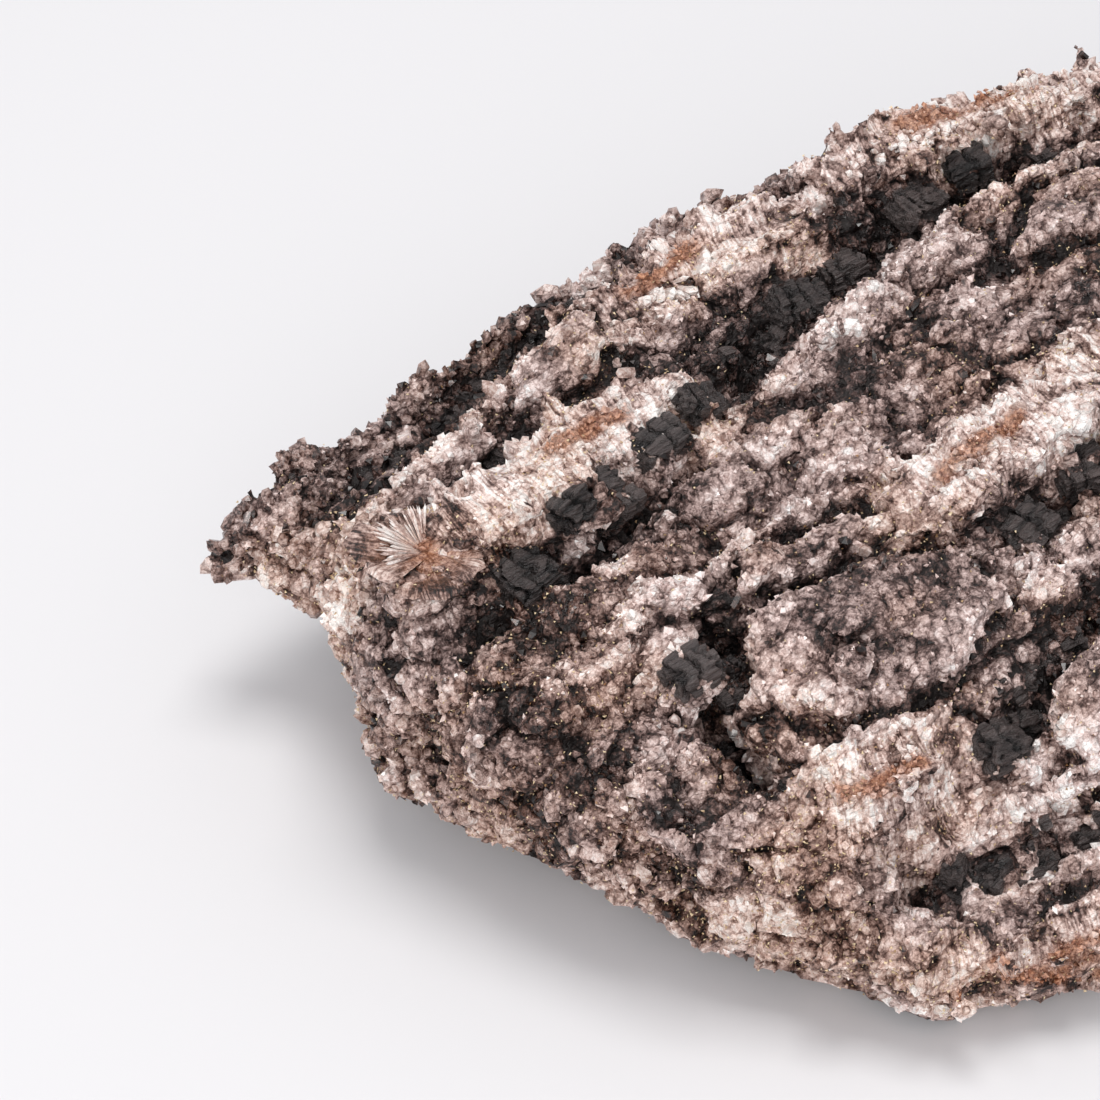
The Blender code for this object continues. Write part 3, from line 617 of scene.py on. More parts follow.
patches = wander(points, 8.0, 3.6, 6)
warmth = smoothstep(-0.25, 0.5, wander(points, 9.0, 6.0, 7)) * 0.6 + 0.25 * broken_end + 0.3 * vein
for x, y, radius in STAINS:
    far = np.hypot(points[:, 0] - x, points[:, 1] - y) / radius
    warmth = warmth + 0.5 * (1.0 - smoothstep(0.5, 1.1, far))
warmth = np.clip(warmth + 0.35 * flank, 0.0, 1.0)
coarse = smoothstep(-0.2, 0.3, wander(points, 6.0, 3.6, 8)) + 0.4 * broken_end + 0.8 * groove
coarse = np.clip(coarse, 0.0, 1.0) * (1.0 - 0.9 * ledge) * (1.0 - crevice)
placed = patch_tone(points[:, 0], points[:, 1])
tone = 0.45 + 0.20 * patches + placed + 0.16 * (grain_shade - 0.5) + 0.16 * (lump_shade - 0.5)
tone = tone + 0.18 * rib - 0.48 * groove * (1.0 - 0.6 * grain_shade) + 0.16 * broken_end
tone = tone + 0.16 * fibres * (1.0 - vein) - 0.05 * flank + 0.16 * foot
tone = tone * (1.0 - 0.7 * vein) + (0.81 + 0.3 * patches + 0.6 * placed) * 0.7 * vein - 0.2 * rose
# The sunken edges between lumps and between grains are darker: painted shade in the cracks.
tone = tone - 0.30 * (1.0 - lump_top) - 0.12 * (1.0 - grain_top) + 0.10 * (bit_shade - 0.5)
tone = tone + 0.5 * ledge * (0.30 + 0.3 * placed - tone)
# Rims of ledges are painted paler, for white sugar and the light they catch; crevices darker, as
# painted shade.
tone = tone + 0.12 * rim - 0.5 * crevice - 0.11 * low_end
keep_marks(body_mesh, tone, seam, warmth)
keep_colour(body_mesh, "comb", *comb_places(points[:, 0], points[:, 1]), vein * (1.0 - seam))
body_mesh.calc_loop_triangles()
print("mean tone", round(tone.mean(), 2), "and warmth", round(warmth.mean(), 2))

# %% [markdown]
# So fine a skin is heavy, so it is cut across the grain into a near and a far piece. Both keep the
# points on the cut where they are, so they meet without a gap.

# %% Near and far ends of the stone
NEAR_PART = -15.0


def part_of_body(name, keep):
    """The faces of the body whose middles pass the test, as a piece of their own."""
    form = bmesh.new()
    form.from_mesh(body_mesh)
    rest = [face for face in form.faces if not keep(face.calc_center_median().x / MM)]
    bmesh.ops.delete(form, geom=rest, context="FACES")
    mesh = bpy.data.meshes.new(name)
    form.to_mesh(mesh)
    form.free()
    made = linked(mesh, name)
    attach(made, "root")
    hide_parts(NODE)
    mesh.calc_loop_triangles()
    print(name, len(mesh.loop_triangles), "triangles")
    return made


near_body = part_of_body("stone_near_end", lambda x: x < NEAR_PART)
far_body = part_of_body("stone_far_end", lambda x: x >= NEAR_PART)

# %% [markdown]
# The colours of the stone run from the black of the wood, through smoky grey, to white quartz with
# a touch of pink. A second run of browns stands beside it, for quartz stained by iron. Every piece
# picks its place on them with the marks that its points carry, and rust is laid over the seams.
# The real surface is a mosaic of tiny crystals, some clear and dark, some milky. A Voronoi
# pattern with bent cells a millimetre wide stands for them: each cell has its own tone and its
# own flat face, and the gaps between the cells are darkened as painted shade.

# %% Colours of the stone
GREY_STOPS = [
    (0.0, tint(32, 25, 24)),
    (0.2, tint(101, 80, 76)),
    (0.45, tint(190, 165, 159)),
    (0.65, tint(237, 217, 212)),
    (0.9, tint(255, 252, 250)),
]
BROWN_STOPS = [
    (0.0, tint(26, 16, 13)),
    (0.2, tint(96, 66, 55)),
    (0.45, tint(185, 151, 137)),
    (0.65, tint(234, 207, 194)),
    (0.9, tint(255, 247, 240)),
]
RUST_DARK = tint(112, 58, 34)
RUST_LIGHT = tint(204, 144, 108)
# Grains to a millimetre, how far noise bends their edges, and the painted shade in the gaps.
GRAINS_PER_MM = 1.0
BEND = (0.5, 0.5, 0.5)
MIDDLE = (0.5, 0.5, 0.5)
GAP_PAINTED_SHADE = 0.18


def stone_colours(paint, mottle, mosaic, more=0.0):
    """Base colour from the marks, with clouds and a mosaic of those strengths over the tone."""
    here = paint.places()
    tone, rust, warmth = paint.channels(paint.mark("marks"))
    bend = paint.node("TexNoise", {}, {"Vector": here, "Scale": 1.6, "Detail": 0.0}, output=1)
    bent = paint.node("VectorMath", {"operation": "MULTIPLY_ADD"}, {0: bend, 1: BEND, 2: here})
    cell = paint.node("TexVoronoi", {}, {"Vector": bent, "Scale": GRAINS_PER_MM}, output=1)
    own = paint.channels(cell)[0]
    gap = paint.step(cell.other(0), 0.42, 0.72)
    offset = paint.node("VectorMath", {"operation": "SUBTRACT"}, {0: bent, 1: cell.other(2)})
    lean = paint.node("VectorMath", {"operation": "SUBTRACT"}, {0: cell, 1: MIDDLE})
    facet = paint.node("VectorMath", {"operation": "DOT_PRODUCT"}, {0: offset, 1: lean}, output=1)
    speckle = paint.step(paint.clouds(here, 2.8, 3.0, 0.75), 0.34, 0.66)
    value = tone + (speckle - 0.5) * mottle + (own - 0.5) * mosaic + more
    # The gaps between grains are darkened: painted shade in the cracks between them.
    value = value - (gap - 0.25) * GAP_PAINTED_SHADE
    base = paint.mix(paint.ramp(value, GREY_STOPS), paint.ramp(value, BROWN_STOPS), warmth)
    rusty = paint.mix(RUST_DARK, RUST_LIGHT, speckle)
    colour = paint.mix(base, rusty, rust * 0.85)
    return SimpleNamespace(here=here, speckle=speckle, own=own, gap=gap, facet=facet, colour=colour)


def grain_bump(paint, look, fine):
    """Each grain's own flat face, with fine noise on it and a gap around it."""
    paint.bump(look.facet * 1.1 + fine * 0.4 - look.gap * 0.2, 1.0, 0.001)


print("runs of", len(GREY_STOPS), "greys and", len(BROWN_STOPS), "browns")

# %% [markdown]
# The stone itself takes these colours, with streaks along the crystals where a vein's comb comes
# to the surface. Some grains are glossy, which makes the stone glitter as it turns. The fine noise
# of its bump is stretched along the grain of the wood.

# %% Finish of the stone


def comb_streaks(paint, across, along):
    """Streaks along the crystals of a comb, and how much each point belongs to one."""
    comb = paint.mark("comb")
    scale = (across, along, 0.0)
    thin = paint.node("VectorMath", {"operation": "MULTIPLY"}, {0: comb, 1: scale})
    return paint.step(paint.clouds(thin, 1.0, 2.0, 0.6), 0.32, 0.68), paint.channels(comb)[2]


stone = Paint("silicified wood")
streaks, in_comb = comb_streaks(stone, 2.4, 0.22)
look = stone_colours(stone, 0.26, 0.24, (streaks - 0.55) * in_comb * 0.4)
fibre_noise = stone.clouds(stone.stretched(look.here, 2.0, 1.0), 3.0, 2.0, 0.75)
stone.set(base_color=look.colour, roughness=0.6 - stone.step(look.own, 0.6, 0.8) * 0.42)
grain_bump(stone, look, fibre_noise)
for piece in (near_body, far_body):
    piece.data.materials.clear()
    piece.data.materials.append(stone.material)
print("stone finish", len(stone.tree.nodes), "nodes")

# %% [markdown]
# Crystals and grains come in thousands, so each kind is one mesh: a small template of points and
# faces, repeated by numpy with its own place, turn, size and jitter. Sugary grains are squeezed
# octahedra, lumps are irregular solids of twenty faces, and a quartz point is a six-sided prism
# with a pyramid on it. In a comb it starts thin and widens towards its tip. All keep flat faces,
# because it is the flat faces that glitter.

# %% Templates of the crystals
CHUNK_POINTS = np.array([(0, 0, 1), (1, 0, 0), (0, 1, 0), (-1, 0, 0), (0, -1, 0), (0, 0, -1)]) * 0.5
CHUNK_FACES = np.array([
    (0, 1, 2), (0, 2, 3), (0, 3, 4), (0, 4, 1), (5, 2, 1), (5, 3, 2), (5, 4, 3), (5, 1, 4),
])
FLECK_POINTS = np.array([(0.5, 0, -0.5), (-0.5, 0.3, -0.5), (-0.3, -0.5, 0.1), (0.1, 0, 0.5)])
FLECK_FACES = np.array([(0, 2, 1), (0, 1, 3), (1, 2, 3), (2, 0, 3)])
SIDES = 6
low_ring = np.arange(SIDES)
after = (low_ring + 1) % SIDES
ring = np.column_stack([np.cos(low_ring * math.pi / 3), np.sin(low_ring * math.pi / 3)]) * 0.5
POINT_POINTS = np.vstack([
    np.column_stack([ring * 0.8, np.zeros(SIDES)]),
    np.column_stack([ring, np.full(SIDES, 0.72)]),
    [(0.05, 0.0, 1.0)],
])
COMB_POINTS = np.vstack([
    np.column_stack([ring * 0.3, np.zeros(SIDES)]),
    np.column_stack([ring, np.full(SIDES, 0.86)]),
    [(0.12, 0.0, 1.0)],
])
POINT_FACES = np.vstack([
    np.column_stack([low_ring, after, after + SIDES]),
    np.column_stack([low_ring, after + SIDES, low_ring + SIDES]),
    np.column_stack([low_ring + SIDES, after + SIDES, np.full(SIDES, 2 * SIDES)]),
    [(0, 2, 1), (0, 3, 2), (0, 4, 3), (0, 5, 4)],
])


def template_of(make, **settings):
    """Points and triangles of one of Blender's own simple solids."""
    form = bmesh.new()
    make(form, **settings)
    bmesh.ops.triangulate(form, faces=form.faces)
    form.verts.index_update()
    points = np.array([v.co for v in form.verts])
    faces = np.array([[v.index for v in f.verts] for f in form.faces])
    form.free()
    return points, faces


LUMP_POINTS, LUMP_FACES = template_of(bmesh.ops.create_icosphere, subdivisions=1, radius=0.5)
print("faces of a chunk, a point and a lump", len(CHUNK_FACES), len(POINT_FACES), len(LUMP_FACES))

# %% [markdown]
# Geometry nodes could scatter the crystals too. numpy is chosen because each one's place, turn and
# size then stay in reach for its marks, and all of a kind end up in one plain mesh. No crystal
# may stand higher than a little over the top of the solid.

# %% The maker of many crystals
# The lowest and the highest that a crystal may reach, in millimetres.
LOW_LIMIT = 0.05
TOP_LIMIT = CAD_BOX[1][2] / MM + 0.9


def turns_along(directions, spins):
    """One rotation for each direction, with Z along it, turned about itself by the spin."""
    z = directions / np.linalg.norm(directions, axis=1)[:, None]
    helper = np.where(np.abs(z[:, 2:3]) < 0.9, [[0.0, 0.0, 1.0]], [[1.0, 0.0, 0.0]])
    x = np.cross(helper, z)
    x /= np.linalg.norm(x, axis=1)[:, None]
    y = np.cross(z, x)
    c, s = np.cos(spins)[:, None], np.sin(spins)[:, None]
    return np.stack([x * c + y * s, y * c - x * s, z], axis=2)


def many(template, faces, spots, directions, sizes, jitter=0.0, roll=math.pi):
    """Points and faces of a template repeated at each spot. Sizes are width, depth and length."""
    count = len(spots)
    turns = turns_along(directions, draw.uniform(-roll, roll, count))
    local = template[None, :, :] + draw.uniform(-jitter, jitter, (count, *template.shape))
    local = local * sizes[:, None, :]
    moved = np.einsum("nij,nkj->nki", turns, local) + spots[:, None, :]
    moved[:, :, 2] = np.clip(moved[:, :, 2], LOW_LIMIT, TOP_LIMIT)
    offsets = (np.arange(count) * len(template))[:, None, None]
    return moved.reshape(-1, 3), (faces[None, :, :] + offsets).reshape(-1, 3)


def grown_piece(name, points_mm, faces, paint, tone, rust, warmth):
    """A finished piece of the specimen: its mesh, marks, material and place in the frame."""
    mesh = bpy.data.meshes.new(name)
    mesh.vertices.add(len(points_mm))
    mesh.vertices.foreach_set("co", (points_mm * MM).astype(np.float32).ravel())
    mesh.loops.add(faces.size)
    mesh.loops.foreach_set("vertex_index", faces.astype(np.int32).ravel())
    mesh.polygons.add(len(faces))
    mesh.polygons.foreach_set("loop_start", np.arange(0, faces.size, 3, dtype=np.int32))
    mesh.update(calc_edges=True)
    mesh.shade_flat()
    share = len(points_mm) // len(tone)
    keep_marks(mesh, *(np.repeat(values, share) for values in (tone, rust, warmth)))
    mesh.materials.append(paint.material)
    made = linked(mesh, name)
    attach(made, "root")
    print(name, len(faces), "triangles")
    return made


print("highest point of a crystal", round(TOP_LIMIT, 1), "mm")

# %% [markdown]
# Crystals sit on the finished body, so their places are drawn from its triangles, each as likely as
# its area. A density for each triangle thins them out or gathers them, and the marks at the place
# tell the crystal what it grows on.

# %% Places for the crystals
corners = np.zeros(len(body_mesh.loop_triangles) * 3, np.int32)
body_mesh.loop_triangles.foreach_get("vertices", corners)
corners = corners.reshape(-1, 3)
seat_points, seat_normals = points_of(body_mesh)
edge_a = seat_points[corners[:, 1]] - seat_points[corners[:, 0]]
edge_b = seat_points[corners[:, 2]] - seat_points[corners[:, 0]]
seat_area = np.linalg.norm(np.cross(edge_a, edge_b), axis=1) / 2
all_marks = np.column_stack([
    tone, seam, warmth, groove, vein, rib, broken_end, under,
    lump_top * (1.0 - crevice) * (1.0 - rose), coarse,
])
TONE, SEAM, WARMTH, GROOVE, VEIN, RIB, END, UNDER, TOP, COARSE = range(10)
seat_marks = all_marks[corners].mean(axis=1)


def seats(count, density):
    """Random places on the body: spots, normals and marks, more of them where density is high."""
    weight = seat_area * np.maximum(density, 0.0)
    chosen = draw.choice(len(corners), count, p=weight / weight.sum())
    u, v = draw.uniform(0, 1, count), draw.uniform(0, 1, count)
    over = u + v > 1
    u, v = np.where(over, 1 - u, u)[:, None], np.where(over, 1 - v, v)[:, None]
    spots = seat_points[corners[chosen, 0]] + edge_a[chosen] * u + edge_b[chosen] * v
    facing = seat_normals[corners[chosen]].mean(axis=1)
    return spots, facing, seat_marks[chosen]


print("places for grains on", round(seat_area.sum()), "square mm")

# %% [markdown]
# Quartz in the veins grew outwards from the seam, so each vein is a comb: long six-sided blades
# that start deep under the seam and fan out sideways and upwards until they reach the vein's
# surface. Their tips make the scalloped edge. The rosette at the near end is the same comb seen
# end on, with blades all round, shorter ones that slope down under them, and needles.

# %% Blades of the veins and the rosette
BLADES_PER_MM = 13
PETALS = 13
UNDER_PETALS = 22
NEEDLES = 70
# How far a blade leans at most, how deep it starts as a share of the comb's height, how far the
# combs keep from the rosette, and how far a tip may stand out of the stone.
WIDEST_LEAN = math.radians(86)
FOOT_DEPTH = 0.70
ROSETTE_CLEAR = 4.5
PROUD = 0.9

tree = BVHTree.FromPolygons([Vector(p) for p in seat_points], [tuple(c) for c in corners])


def point_on(line, share):
    """A point of a line at that share of its length, and the direction there."""
    corners = np.array(line, float)
    run = np.hypot(*np.diff(corners, axis=0).T)
    length = np.concatenate([[0.0], np.cumsum(run)])
    place = share * length[-1]
    i = min(int(np.searchsorted(length, place, side="right")) - 1, len(run) - 1)
    step = corners[i + 1] - corners[i]
    return corners[i] + step * ((place - length[i]) / run[i]), step / run[i]


def height_at(x, y):
    """The highest point of the body over (x, y), in millimetres."""
    hit = tree.ray_cast(Vector((x, y, 90.0)), Vector((0.0, 0.0, -1.0)))[0]
    return hit.z if hit is not None else None


def comb_of(line, half_width, stand):
    """Foot, direction and length of each blade of one vein."""
    rows = []
    total = line_distance(np.zeros(1), np.zeros(1), line)[2]
    for _ in range(int(total * BLADES_PER_MM)):
        spot, ahead = point_on(line, draw.uniform(0.01, 0.99))
        out = np.array([-ahead[1], ahead[0]])
        top = height_at(*spot)
        if top is None or math.dist(spot, ROSETTE) < ROSETTE_CLEAR:
            continue
        lean = draw.choice([-1, 1]) * draw.uniform(0.1, 1.0) ** 0.45 * WIDEST_LEAN
        reach = math.hypot(math.sin(lean) * half_width, math.cos(lean) * stand * 0.82)
        fan = draw.normal(0.0, 0.22)
        direction = (
            out[0] * math.sin(lean) + ahead[0] * fan,
            out[1] * math.sin(lean) + ahead[1] * fan,
            math.cos(lean),
        )
        length = reach * draw.uniform(0.92, 1.10)
        foot_at = (*spot, top - stand * FOOT_DEPTH)
        tip = Vector(foot_at) + Vector(direction).normalized() * length
        ground = height_at(tip.x, tip.y)
        if ground is not None and tip.z < ground + PROUD:
            rows.append((*foot_at, *direction, length))
    return rows


def rosette_blades(count, first, last, rises, lengths):
    """Blades from one middle, turned from the first angle to the last, like petals."""
    rows = []
    top = height_at(*ROSETTE)
    step = math.radians(last - first) / count
    for i in range(count):
        turn = math.radians(first) + (i + draw.uniform(-0.35, 0.35)) * step
        direction = (math.cos(turn), math.sin(turn), draw.uniform(*rises))
        rows.append((*ROSETTE, top - 0.1, *direction, draw.uniform(*lengths)))
    return rows


def blades(rows, widths, thickness, tone, warmth, roll):
    """Points, faces, marks and streak places of blades of those widths."""
    rows = np.array(rows)
    count = len(rows)
    wide = draw.uniform(*widths, count)
    sizes = np.column_stack([wide, wide * thickness, rows[:, 6]])
    points, faces = many(COMB_POINTS, POINT_FACES, rows[:, :3], rows[:, 3:6], sizes, 0.04, roll)
    share = len(COMB_POINTS)
    across = COMB_POINTS[None, :, 0] * wide[:, None] + draw.uniform(0, 400, count)[:, None]
    length = COMB_POINTS[None, :, 2] * sizes[:, 2:]
    streak = np.column_stack([across.ravel(), length.ravel(), np.ones(count * share)])
    marks = [np.repeat(draw.uniform(*spread, count), share) for spread in (tone, warmth)]
    return points, faces, marks, streak


combs = []
for line, half_width, stand, _ in VEINS:
    combs += comb_of(line, half_width, stand)
petals = rosette_blades(PETALS, 0, 360, rises=(0.0, 0.25), lengths=(5.0, 6.8))
kinds = [blades(petals, widths=(2.4, 4.0), thickness=0.26,
                tone=(0.34, 0.54), warmth=(0.5, 0.9), roll=0.35)]
under_petals = rosette_blades(UNDER_PETALS, 60, 320, rises=(-0.8, -0.15), lengths=(3.6, 5.4))
kinds.append(blades(under_petals, widths=(1.2, 2.4), thickness=0.4,
                    tone=(0.3, 0.55), warmth=(0.3, 0.7), roll=0.5))
needles = rosette_blades(NEEDLES, 50, 200, rises=(0.25, 0.6), lengths=(3.2, 4.8))
kinds.append(blades(needles, widths=(0.16, 0.34), thickness=0.8,
                    tone=(0.6, 0.9), warmth=(0.3, 0.6), roll=math.pi))
kinds.append(blades(combs, widths=(0.7, 1.7), thickness=0.55,
                    tone=(0.62, 0.84), warmth=(0.3, 0.7), roll=math.pi))
print(len(combs), "blades in the veins,", len(petals) + len(under_petals), "in the rosette")

# %% [markdown]
# All blades are one piece. They are milky and glossy, with the same streaks along them as the
# stone has in its veins, and the middle of the rosette is rusty. Clear blades with transmission
# would be truer in a close view, but thousands of them in a heap cost too much time.

# %% Comb quartz
in_rosette = sum(len(kind[0]) for kind in kinds[:-1])
starts = np.cumsum([0] + [len(kind[0]) for kind in kinds[:-1]])
blade_points = np.vstack([kind[0] for kind in kinds])
blade_faces = np.vstack([kind[1] + start for kind, start in zip(kinds, starts)])
blade_tone, blade_warmth = np.hstack([kind[2] for kind in kinds])
blade_tone = blade_tone + 0.5 * wander(blade_points, 2.4, 2.4, 41)
blade_rust = zones_of(blade_points, np.ones(len(blade_points)))[1]
from_middle = np.hypot(*(blade_points[:in_rosette, :2] - ROSETTE).T)
blade_rust[:in_rosette] = 1.0 - smoothstep(1.0, 3.2, from_middle)

comb_paint = Paint("comb quartz")
streaks, in_comb = comb_streaks(comb_paint, 4.0, 0.35)
look = stone_colours(comb_paint, 0.24, 0.1, (streaks - 0.55) * in_comb * 0.3)
comb_paint.set(base_color=look.colour, roughness=comb_paint.clouds(look.here, 3.0) * 0.25 + 0.08)
comb_paint.bump(streaks + look.speckle * 0.6, 0.8, 0.00015)
comb_quartz = grown_piece("comb_quartz", blade_points, blade_faces, comb_paint,
                          blade_tone, blade_rust, blade_warmth)
keep_colour(comb_quartz.data, "comb", *np.vstack([kind[3] for kind in kinds]).T)

# %% [markdown]
# Between the veins the quartz stands in lumps of one to two and a half millimetres, broken and
# lying every way. They are thickest on the ribs and the high patches. Twenty flat faces, pushed
# about a little, are enough for a broken lump.

# %% Lumps of quartz
LUMP_COUNT = 4200

density = (0.4 + 0.6 * seat_marks[:, RIB] + seat_marks[:, TONE]) * seat_marks[:, COARSE]
density = (density + 0.5 * seat_marks[:, GROOVE]) * (1.0 - 0.8 * seat_marks[:, VEIN])
density = density * (0.1 + 0.9 * seat_marks[:, TOP]) * (1.0 - 0.75 * seat_marks[:, UNDER])
spots, facing, marks = seats(LUMP_COUNT, density)
widths = np.clip(draw.lognormal(0.3, 0.36, LUMP_COUNT), 0.8, 2.6)
lie = facing + draw.normal(0.0, 0.35, (LUMP_COUNT, 3))
depths = widths * draw.uniform(0.55, 1.0, LUMP_COUNT)
sizes = np.column_stack([widths, depths, widths * draw.uniform(0.4, 0.8, LUMP_COUNT)])
spots = spots - facing * (widths * 0.14)[:, None]
lump_points, lump_faces = many(LUMP_POINTS, LUMP_FACES, spots, lie, sizes, 0.11)
lump_tone = marks[:, TONE] + 0.04 + draw.normal(0.0, 0.10, LUMP_COUNT)

lump_paint = Paint("clear brown quartz")
look = stone_colours(lump_paint, 0.26, 0.24)
lump_noise = lump_paint.clouds(look.here, 3.0, 2.0, 0.75)
lump_paint.set(base_color=look.colour, roughness=0.5 - lump_paint.step(look.own, 0.5, 0.8) * 0.4)
grain_bump(lump_paint, look, lump_noise)
grown_piece("quartz_lumps", lump_points, lump_faces, lump_paint,
            lump_tone, marks[:, SEAM], np.clip(marks[:, WARMTH] + 0.1, 0, 1))

# %% [markdown]
# Sugary quartz covers most of the stone: pale grains from a fifth of a millimetre to one. They are
# chunks scattered over the body, sparse in the grooves, with a tone that follows what they sit on.
# Along the seams they are rusty. The coarse and the fine ones are two pieces, so that neither mesh
# gets too heavy.

# %% Sugary quartz grains
SUGAR_COUNT = 16000

sugar_paint = Paint("sugary quartz")
look = stone_colours(sugar_paint, 0.3, 0.2)
sugar_paint.set(base_color=look.colour, roughness=0.5 - sugar_paint.step(look.own, 0.4, 0.7) * 0.36)

density = 0.6 + 0.7 * seat_marks[:, RIB] + 2.0 * seat_marks[:, SEAM] - 0.2 * seat_marks[:, COARSE]
density = density * (1.0 - 0.8 * seat_marks[:, GROOVE]) * (1.0 - 0.7 * seat_marks[:, UNDER])
density = density * (0.35 + 0.65 * seat_marks[:, TOP]) * (1.0 - 0.35 * seat_marks[:, VEIN])
for name, middle_width in {"sugary_quartz": -0.65, "fine_sugar": -1.15}.items():
    spots, facing, marks = seats(SUGAR_COUNT, density)
    widths = np.clip(draw.lognormal(middle_width, 0.34, SUGAR_COUNT), 0.18, 1.1)
    lie = facing + draw.normal(0.0, 0.8, (SUGAR_COUNT, 3))
    depths = widths * draw.uniform(0.5, 1.0, SUGAR_COUNT)
    sizes = np.column_stack([widths, depths, widths * draw.uniform(0.6, 1.3, SUGAR_COUNT)])
    spots = spots + facing * (widths * 0.02 + 0.4 * marks[:, SEAM])[:, None]
    sugar_points, sugar_faces = many(CHUNK_POINTS, CHUNK_FACES, spots, lie, sizes, 0.14)
    sugar_tone = marks[:, TONE] + 0.02 + draw.normal(0.0, 0.13, SUGAR_COUNT)
    grown_piece(name, sugar_points, sugar_faces, sugar_paint,
                sugar_tone, marks[:, SEAM], marks[:, WARMTH])

# %% [markdown]
# Smoky quartz is the same mineral darkened to brown. It grows here as stubby points of half a
# millimetre to two and a half, thickest along the back edge and over the broken near end. They are
# clear enough to show some depth, so they get a share of transmission with the index of quartz.

# %% Smoky quartz points
SMOKY_COUNT = 3000
QUARTZ_INDEX = 1.544

back_edge = smoothstep(24.0, 36.0, seat_points[corners[:, 0], 1])
density = 0.16 + 0.5 * seat_marks[:, END] + 1.2 * back_edge
density = density * (1.0 - 0.8 * seat_marks[:, VEIN]) * (1.0 - 0.85 * seat_marks[:, UNDER])
spots, facing, marks = seats(SMOKY_COUNT, density)
widths = np.clip(draw.lognormal(-0.2, 0.3, SMOKY_COUNT), 0.4, 1.4)
lie = facing + draw.normal(0.0, 0.5, (SMOKY_COUNT, 3))
lie /= np.linalg.norm(lie, axis=1)[:, None]
lengths = widths * draw.uniform(1.1, 1.9, SMOKY_COUNT)
sizes = np.column_stack([widths, widths * draw.uniform(0.6, 1.0, SMOKY_COUNT), lengths])
spots = spots - lie * (lengths * draw.uniform(0.35, 0.6, SMOKY_COUNT))[:, None]
smoky_points, smoky_faces = many(POINT_POINTS, POINT_FACES, spots, lie, sizes, 0.05)
smoky_tone = marks[:, TONE] * 0.85 + 0.05 + draw.normal(0.0, 0.12, SMOKY_COUNT)

smoky_paint = Paint("smoky quartz")
look = stone_colours(smoky_paint, 0.32, 0.12)
smoky_paint.set(base_color=look.colour, roughness=smoky_paint.clouds(look.here, 2.0) * 0.25 + 0.08)
smoky_paint.set(ior=QUARTZ_INDEX, transmission_weight=0.3)
grown_piece("smoky_quartz", smoky_points, smoky_faces, smoky_paint,
            smoky_tone, marks[:, SEAM] * 0.6, np.clip(marks[:, WARMTH] + 0.25, 0, 1))

# %% [markdown]
# The black wood has split into small blocks, as charcoal does, along the grain and across it. Each
# block starts as a cube with many points. It is rounded, grooved along the fibres and cut across
# them by wavy cracks. The large ones cover the blocks of the solid, and small ones fill the
# grooves but stay out of the veins.

# %% Blocks of black wood
SMALL_BLOCKS = 220
BIG_CUTS = 18
SMALL_CUTS = 5
# How much larger a block is than the solid's, how deep it sits as a share of its height, its
# turns at random in radians, how much vein it may stand in, and how far apart its cracks are.
BLOCK_MARGIN = (0.6, 0.6, 0.8)
BLOCK_SUNK = 0.22
BLOCK_TURNS = {"Z": 0.25, "Y": 0.2, "X": 0.25}
MOST_VEIN = 0.3
CRACK_SPACING = 1.9
# Each block of black wood: x, y, length, width and height.
BLOCKS = [
    (-48.2, 11.0, 4.6, 4.2, 3.4), (-42.4, 12.6, 3.6, 3.2, 2.4), (-38.8, 13.2, 4.0, 3.4, 2.8),
    (-31.6, 14.0, 5.0, 3.4, 2.4), (-44.6, -6.4, 4.2, 3.4, 2.0), (-25.8, 15.4, 3.6, 3.0, 1.8),
    (-9.4, 21.6, 5.2, 4.0, 2.6), (-3.0, 23.6, 4.2, 3.4, 2.2), (7.0, 24.6, 4.8, 3.4, 2.4),
    (13.6, 25.2, 3.8, 3.2, 2.4), (-11.8, -11.2, 4.0, 3.6, 2.4), (-4.4, -9.4, 4.4, 3.6, 2.4),
    (-26.2, -24.0, 3.8, 3.6, 2.4), (-22.6, -22.0, 3.4, 2.8, 2.2), (18.4, -5.0, 4.4, 3.4, 2.2),
    (38.0, 8.8, 4.8, 3.6, 2.2), (4.0, -20.0, 4.4, 3.6, 2.2),
]


def cube_sheets(cuts):
    """Points and triangles of a cube of side 1, with that many cuts along each edge."""
    grid = bmesh.ops.create_grid
    sheet, sheet_faces = template_of(grid, x_segments=cuts, y_segments=cuts, size=0.5)
    points = []
    faces = []
    for i in range(6):
        axis, side = divmod(i, 2)
        level = np.full(len(sheet), side - 0.5)
        points.append(np.roll(np.column_stack([sheet[:, :2], level]), axis, 1))
        faces.append((sheet_faces if side else sheet_faces[:, ::-1]) + i * len(sheet))
    return np.vstack(points), np.vstack(faces)


def rounded_block(cube, size, shift):
    """Points of one block about its middle, with its fibres along X, and how pale each is."""
    outward = cube / np.linalg.norm(cube, axis=1)[:, None]
    local = (cube * 0.66 + outward * 0.17) * size
    fibre = wander(local, 4.0, 0.45, shift)
    across = local[:, 0] / CRACK_SPACING + 0.6 * wander(local, 1.6, 1.6, shift + 9)
    crack = smoothstep(0.02, 0.2, np.abs(across - np.round(across)))
    # Points in the cracks are darker: painted shade. The fibres vary the tone as the wood itself
    # does.
    shade = 0.12 + 0.2 * crack + 0.3 * fibre
    return local + outward * ((crack - 1.0) * 0.55 + fibre * 0.3)[:, None], shade


block_rows = [(x, y, np.add(size, BLOCK_MARGIN)) for x, y, *size in BLOCKS]
for _ in range(SMALL_BLOCKS):
    line, half_width = GROOVES[draw.integers(len(GROOVES))]
    spot, ahead = point_on(line, draw.uniform(0.02, 0.98))
    aside = draw.normal(0.0, half_width * 0.5)
    size = draw.uniform(1.0, 2.8) * np.array([1.0, draw.uniform(0.6, 0.95), draw.uniform(0.6, 0.9)])
    x, y = spot[0] - ahead[1] * aside, spot[1] + ahead[0] * aside
    in_vein = zones_of(np.array([[x, y, 0.0]]), np.ones(1))[0][0]
    if in_vein < MOST_VEIN:
        block_rows.append((x, y, size))

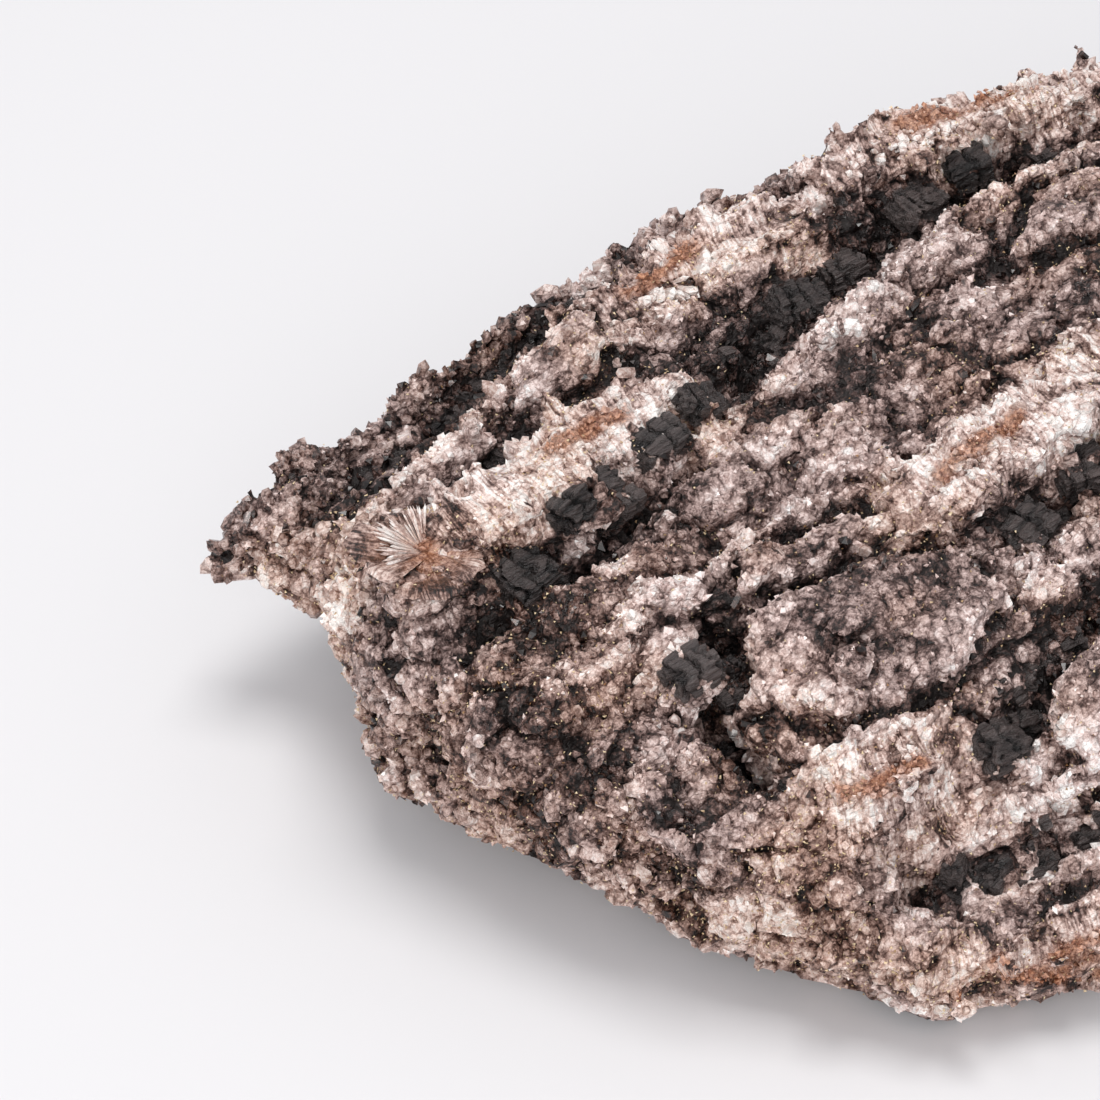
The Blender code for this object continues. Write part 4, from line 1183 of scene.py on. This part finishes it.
block_points = []
block_faces = []
block_tone = []
for i, (x, y, size) in enumerate(block_rows):
    top = height_at(x, y)
    if top is None:
        continue
    cube, faces = cube_sheets(BIG_CUTS if i < len(BLOCKS) else SMALL_CUTS)
    turn = Matrix.Identity(3)
    for axis, spread in BLOCK_TURNS.items():
        turn = turn @ Matrix.Rotation(draw.normal(0.0, spread), 3, axis)
    formed, shade = rounded_block(cube, size, i + 3)
    placed_block = formed @ np.array(turn).T + (x, y, top - size[2] * BLOCK_SUNK)
    placed_block[:, 2] = np.clip(placed_block[:, 2], LOW_LIMIT, TOP_LIMIT)
    block_faces.append(faces + sum(len(p) for p in block_points))
    block_points.append(placed_block)
    block_tone.append(shade + draw.uniform(-0.1, 0.14))
block_tone = np.concatenate(block_tone)
print(len(block_points), "blocks of black wood")

# %% [markdown]
# The finish is the black of charcoal with grey threads along the fibres, and darker in the
# cracks as painted shade. Its broken faces are glossy, so the roughness is low and changes with
# the threads.

# %% Finish of the black wood
WOOD_BLACK = tint(13, 12, 14)
WOOD_GREY = tint(104, 93, 91)

wood_paint = Paint("black wood")
here = wood_paint.places()
own_shade = wood_paint.channels(wood_paint.mark("marks"))[0]
thread = wood_paint.clouds(wood_paint.stretched(here, 6.0, 1.0), 4.0, 4.0)
value = wood_paint.step(own_shade + (thread - 0.5) * 0.6, -0.05, 0.95)
wood_paint.set(base_color=wood_paint.mix(WOOD_BLACK, WOOD_GREY, value))
wood_paint.set(roughness=wood_paint.step(thread, 0.2, 0.8) * 0.24 + 0.12)
wood_paint.bump(thread, 0.8, 0.0007)
grown_piece("black_wood", np.vstack(block_points), np.vstack(block_faces), wood_paint,
            block_tone, np.zeros(len(block_tone)), np.zeros(len(block_tone)))

# %% [markdown]
# Flecks of cream and gold lie all over the stone, a quarter of a millimetre long. They are iron
# stained slivers of quartz. Four triangles each are enough at that size. A speckled texture would
# be cheaper, but only a real sliver catches the light as these do.

# %% Cream flecks
FLECK_COUNT = 12000
FLECK_BROWN = tint(140, 98, 60)
FLECK_CREAM = tint(236, 214, 174)

density = (0.2 + 1.6 * seat_marks[:, WARMTH] ** 2) * (1.0 - 0.8 * seat_marks[:, GROOVE])
spots, facing, marks = seats(FLECK_COUNT, density * (1.0 - 0.85 * seat_marks[:, UNDER]))
lie = np.cross(facing, draw.normal(0.0, 1.0, (FLECK_COUNT, 3))) + facing * 0.15
sizes = np.column_stack([
    draw.uniform(0.1, 0.24, FLECK_COUNT), draw.uniform(0.06, 0.14, FLECK_COUNT),
    draw.uniform(0.14, 0.34, FLECK_COUNT),
])
spots = spots + facing * draw.uniform(0.05, 0.4, FLECK_COUNT)[:, None]
fleck_points, fleck_faces = many(FLECK_POINTS, FLECK_FACES, spots, lie, sizes, 0.1)

fleck_paint = Paint("iron stained slivers")
pale = fleck_paint.channels(fleck_paint.mark("marks"))[0]
fleck_paint.set(base_color=fleck_paint.mix(FLECK_BROWN, FLECK_CREAM, pale), roughness=0.4)
fleck_tone = draw.uniform(0.0, 1.0, FLECK_COUNT) ** 0.7
grown_piece("cream_flecks", fleck_points, fleck_faces, fleck_paint,
            fleck_tone, np.zeros(FLECK_COUNT), np.ones(FLECK_COUNT))
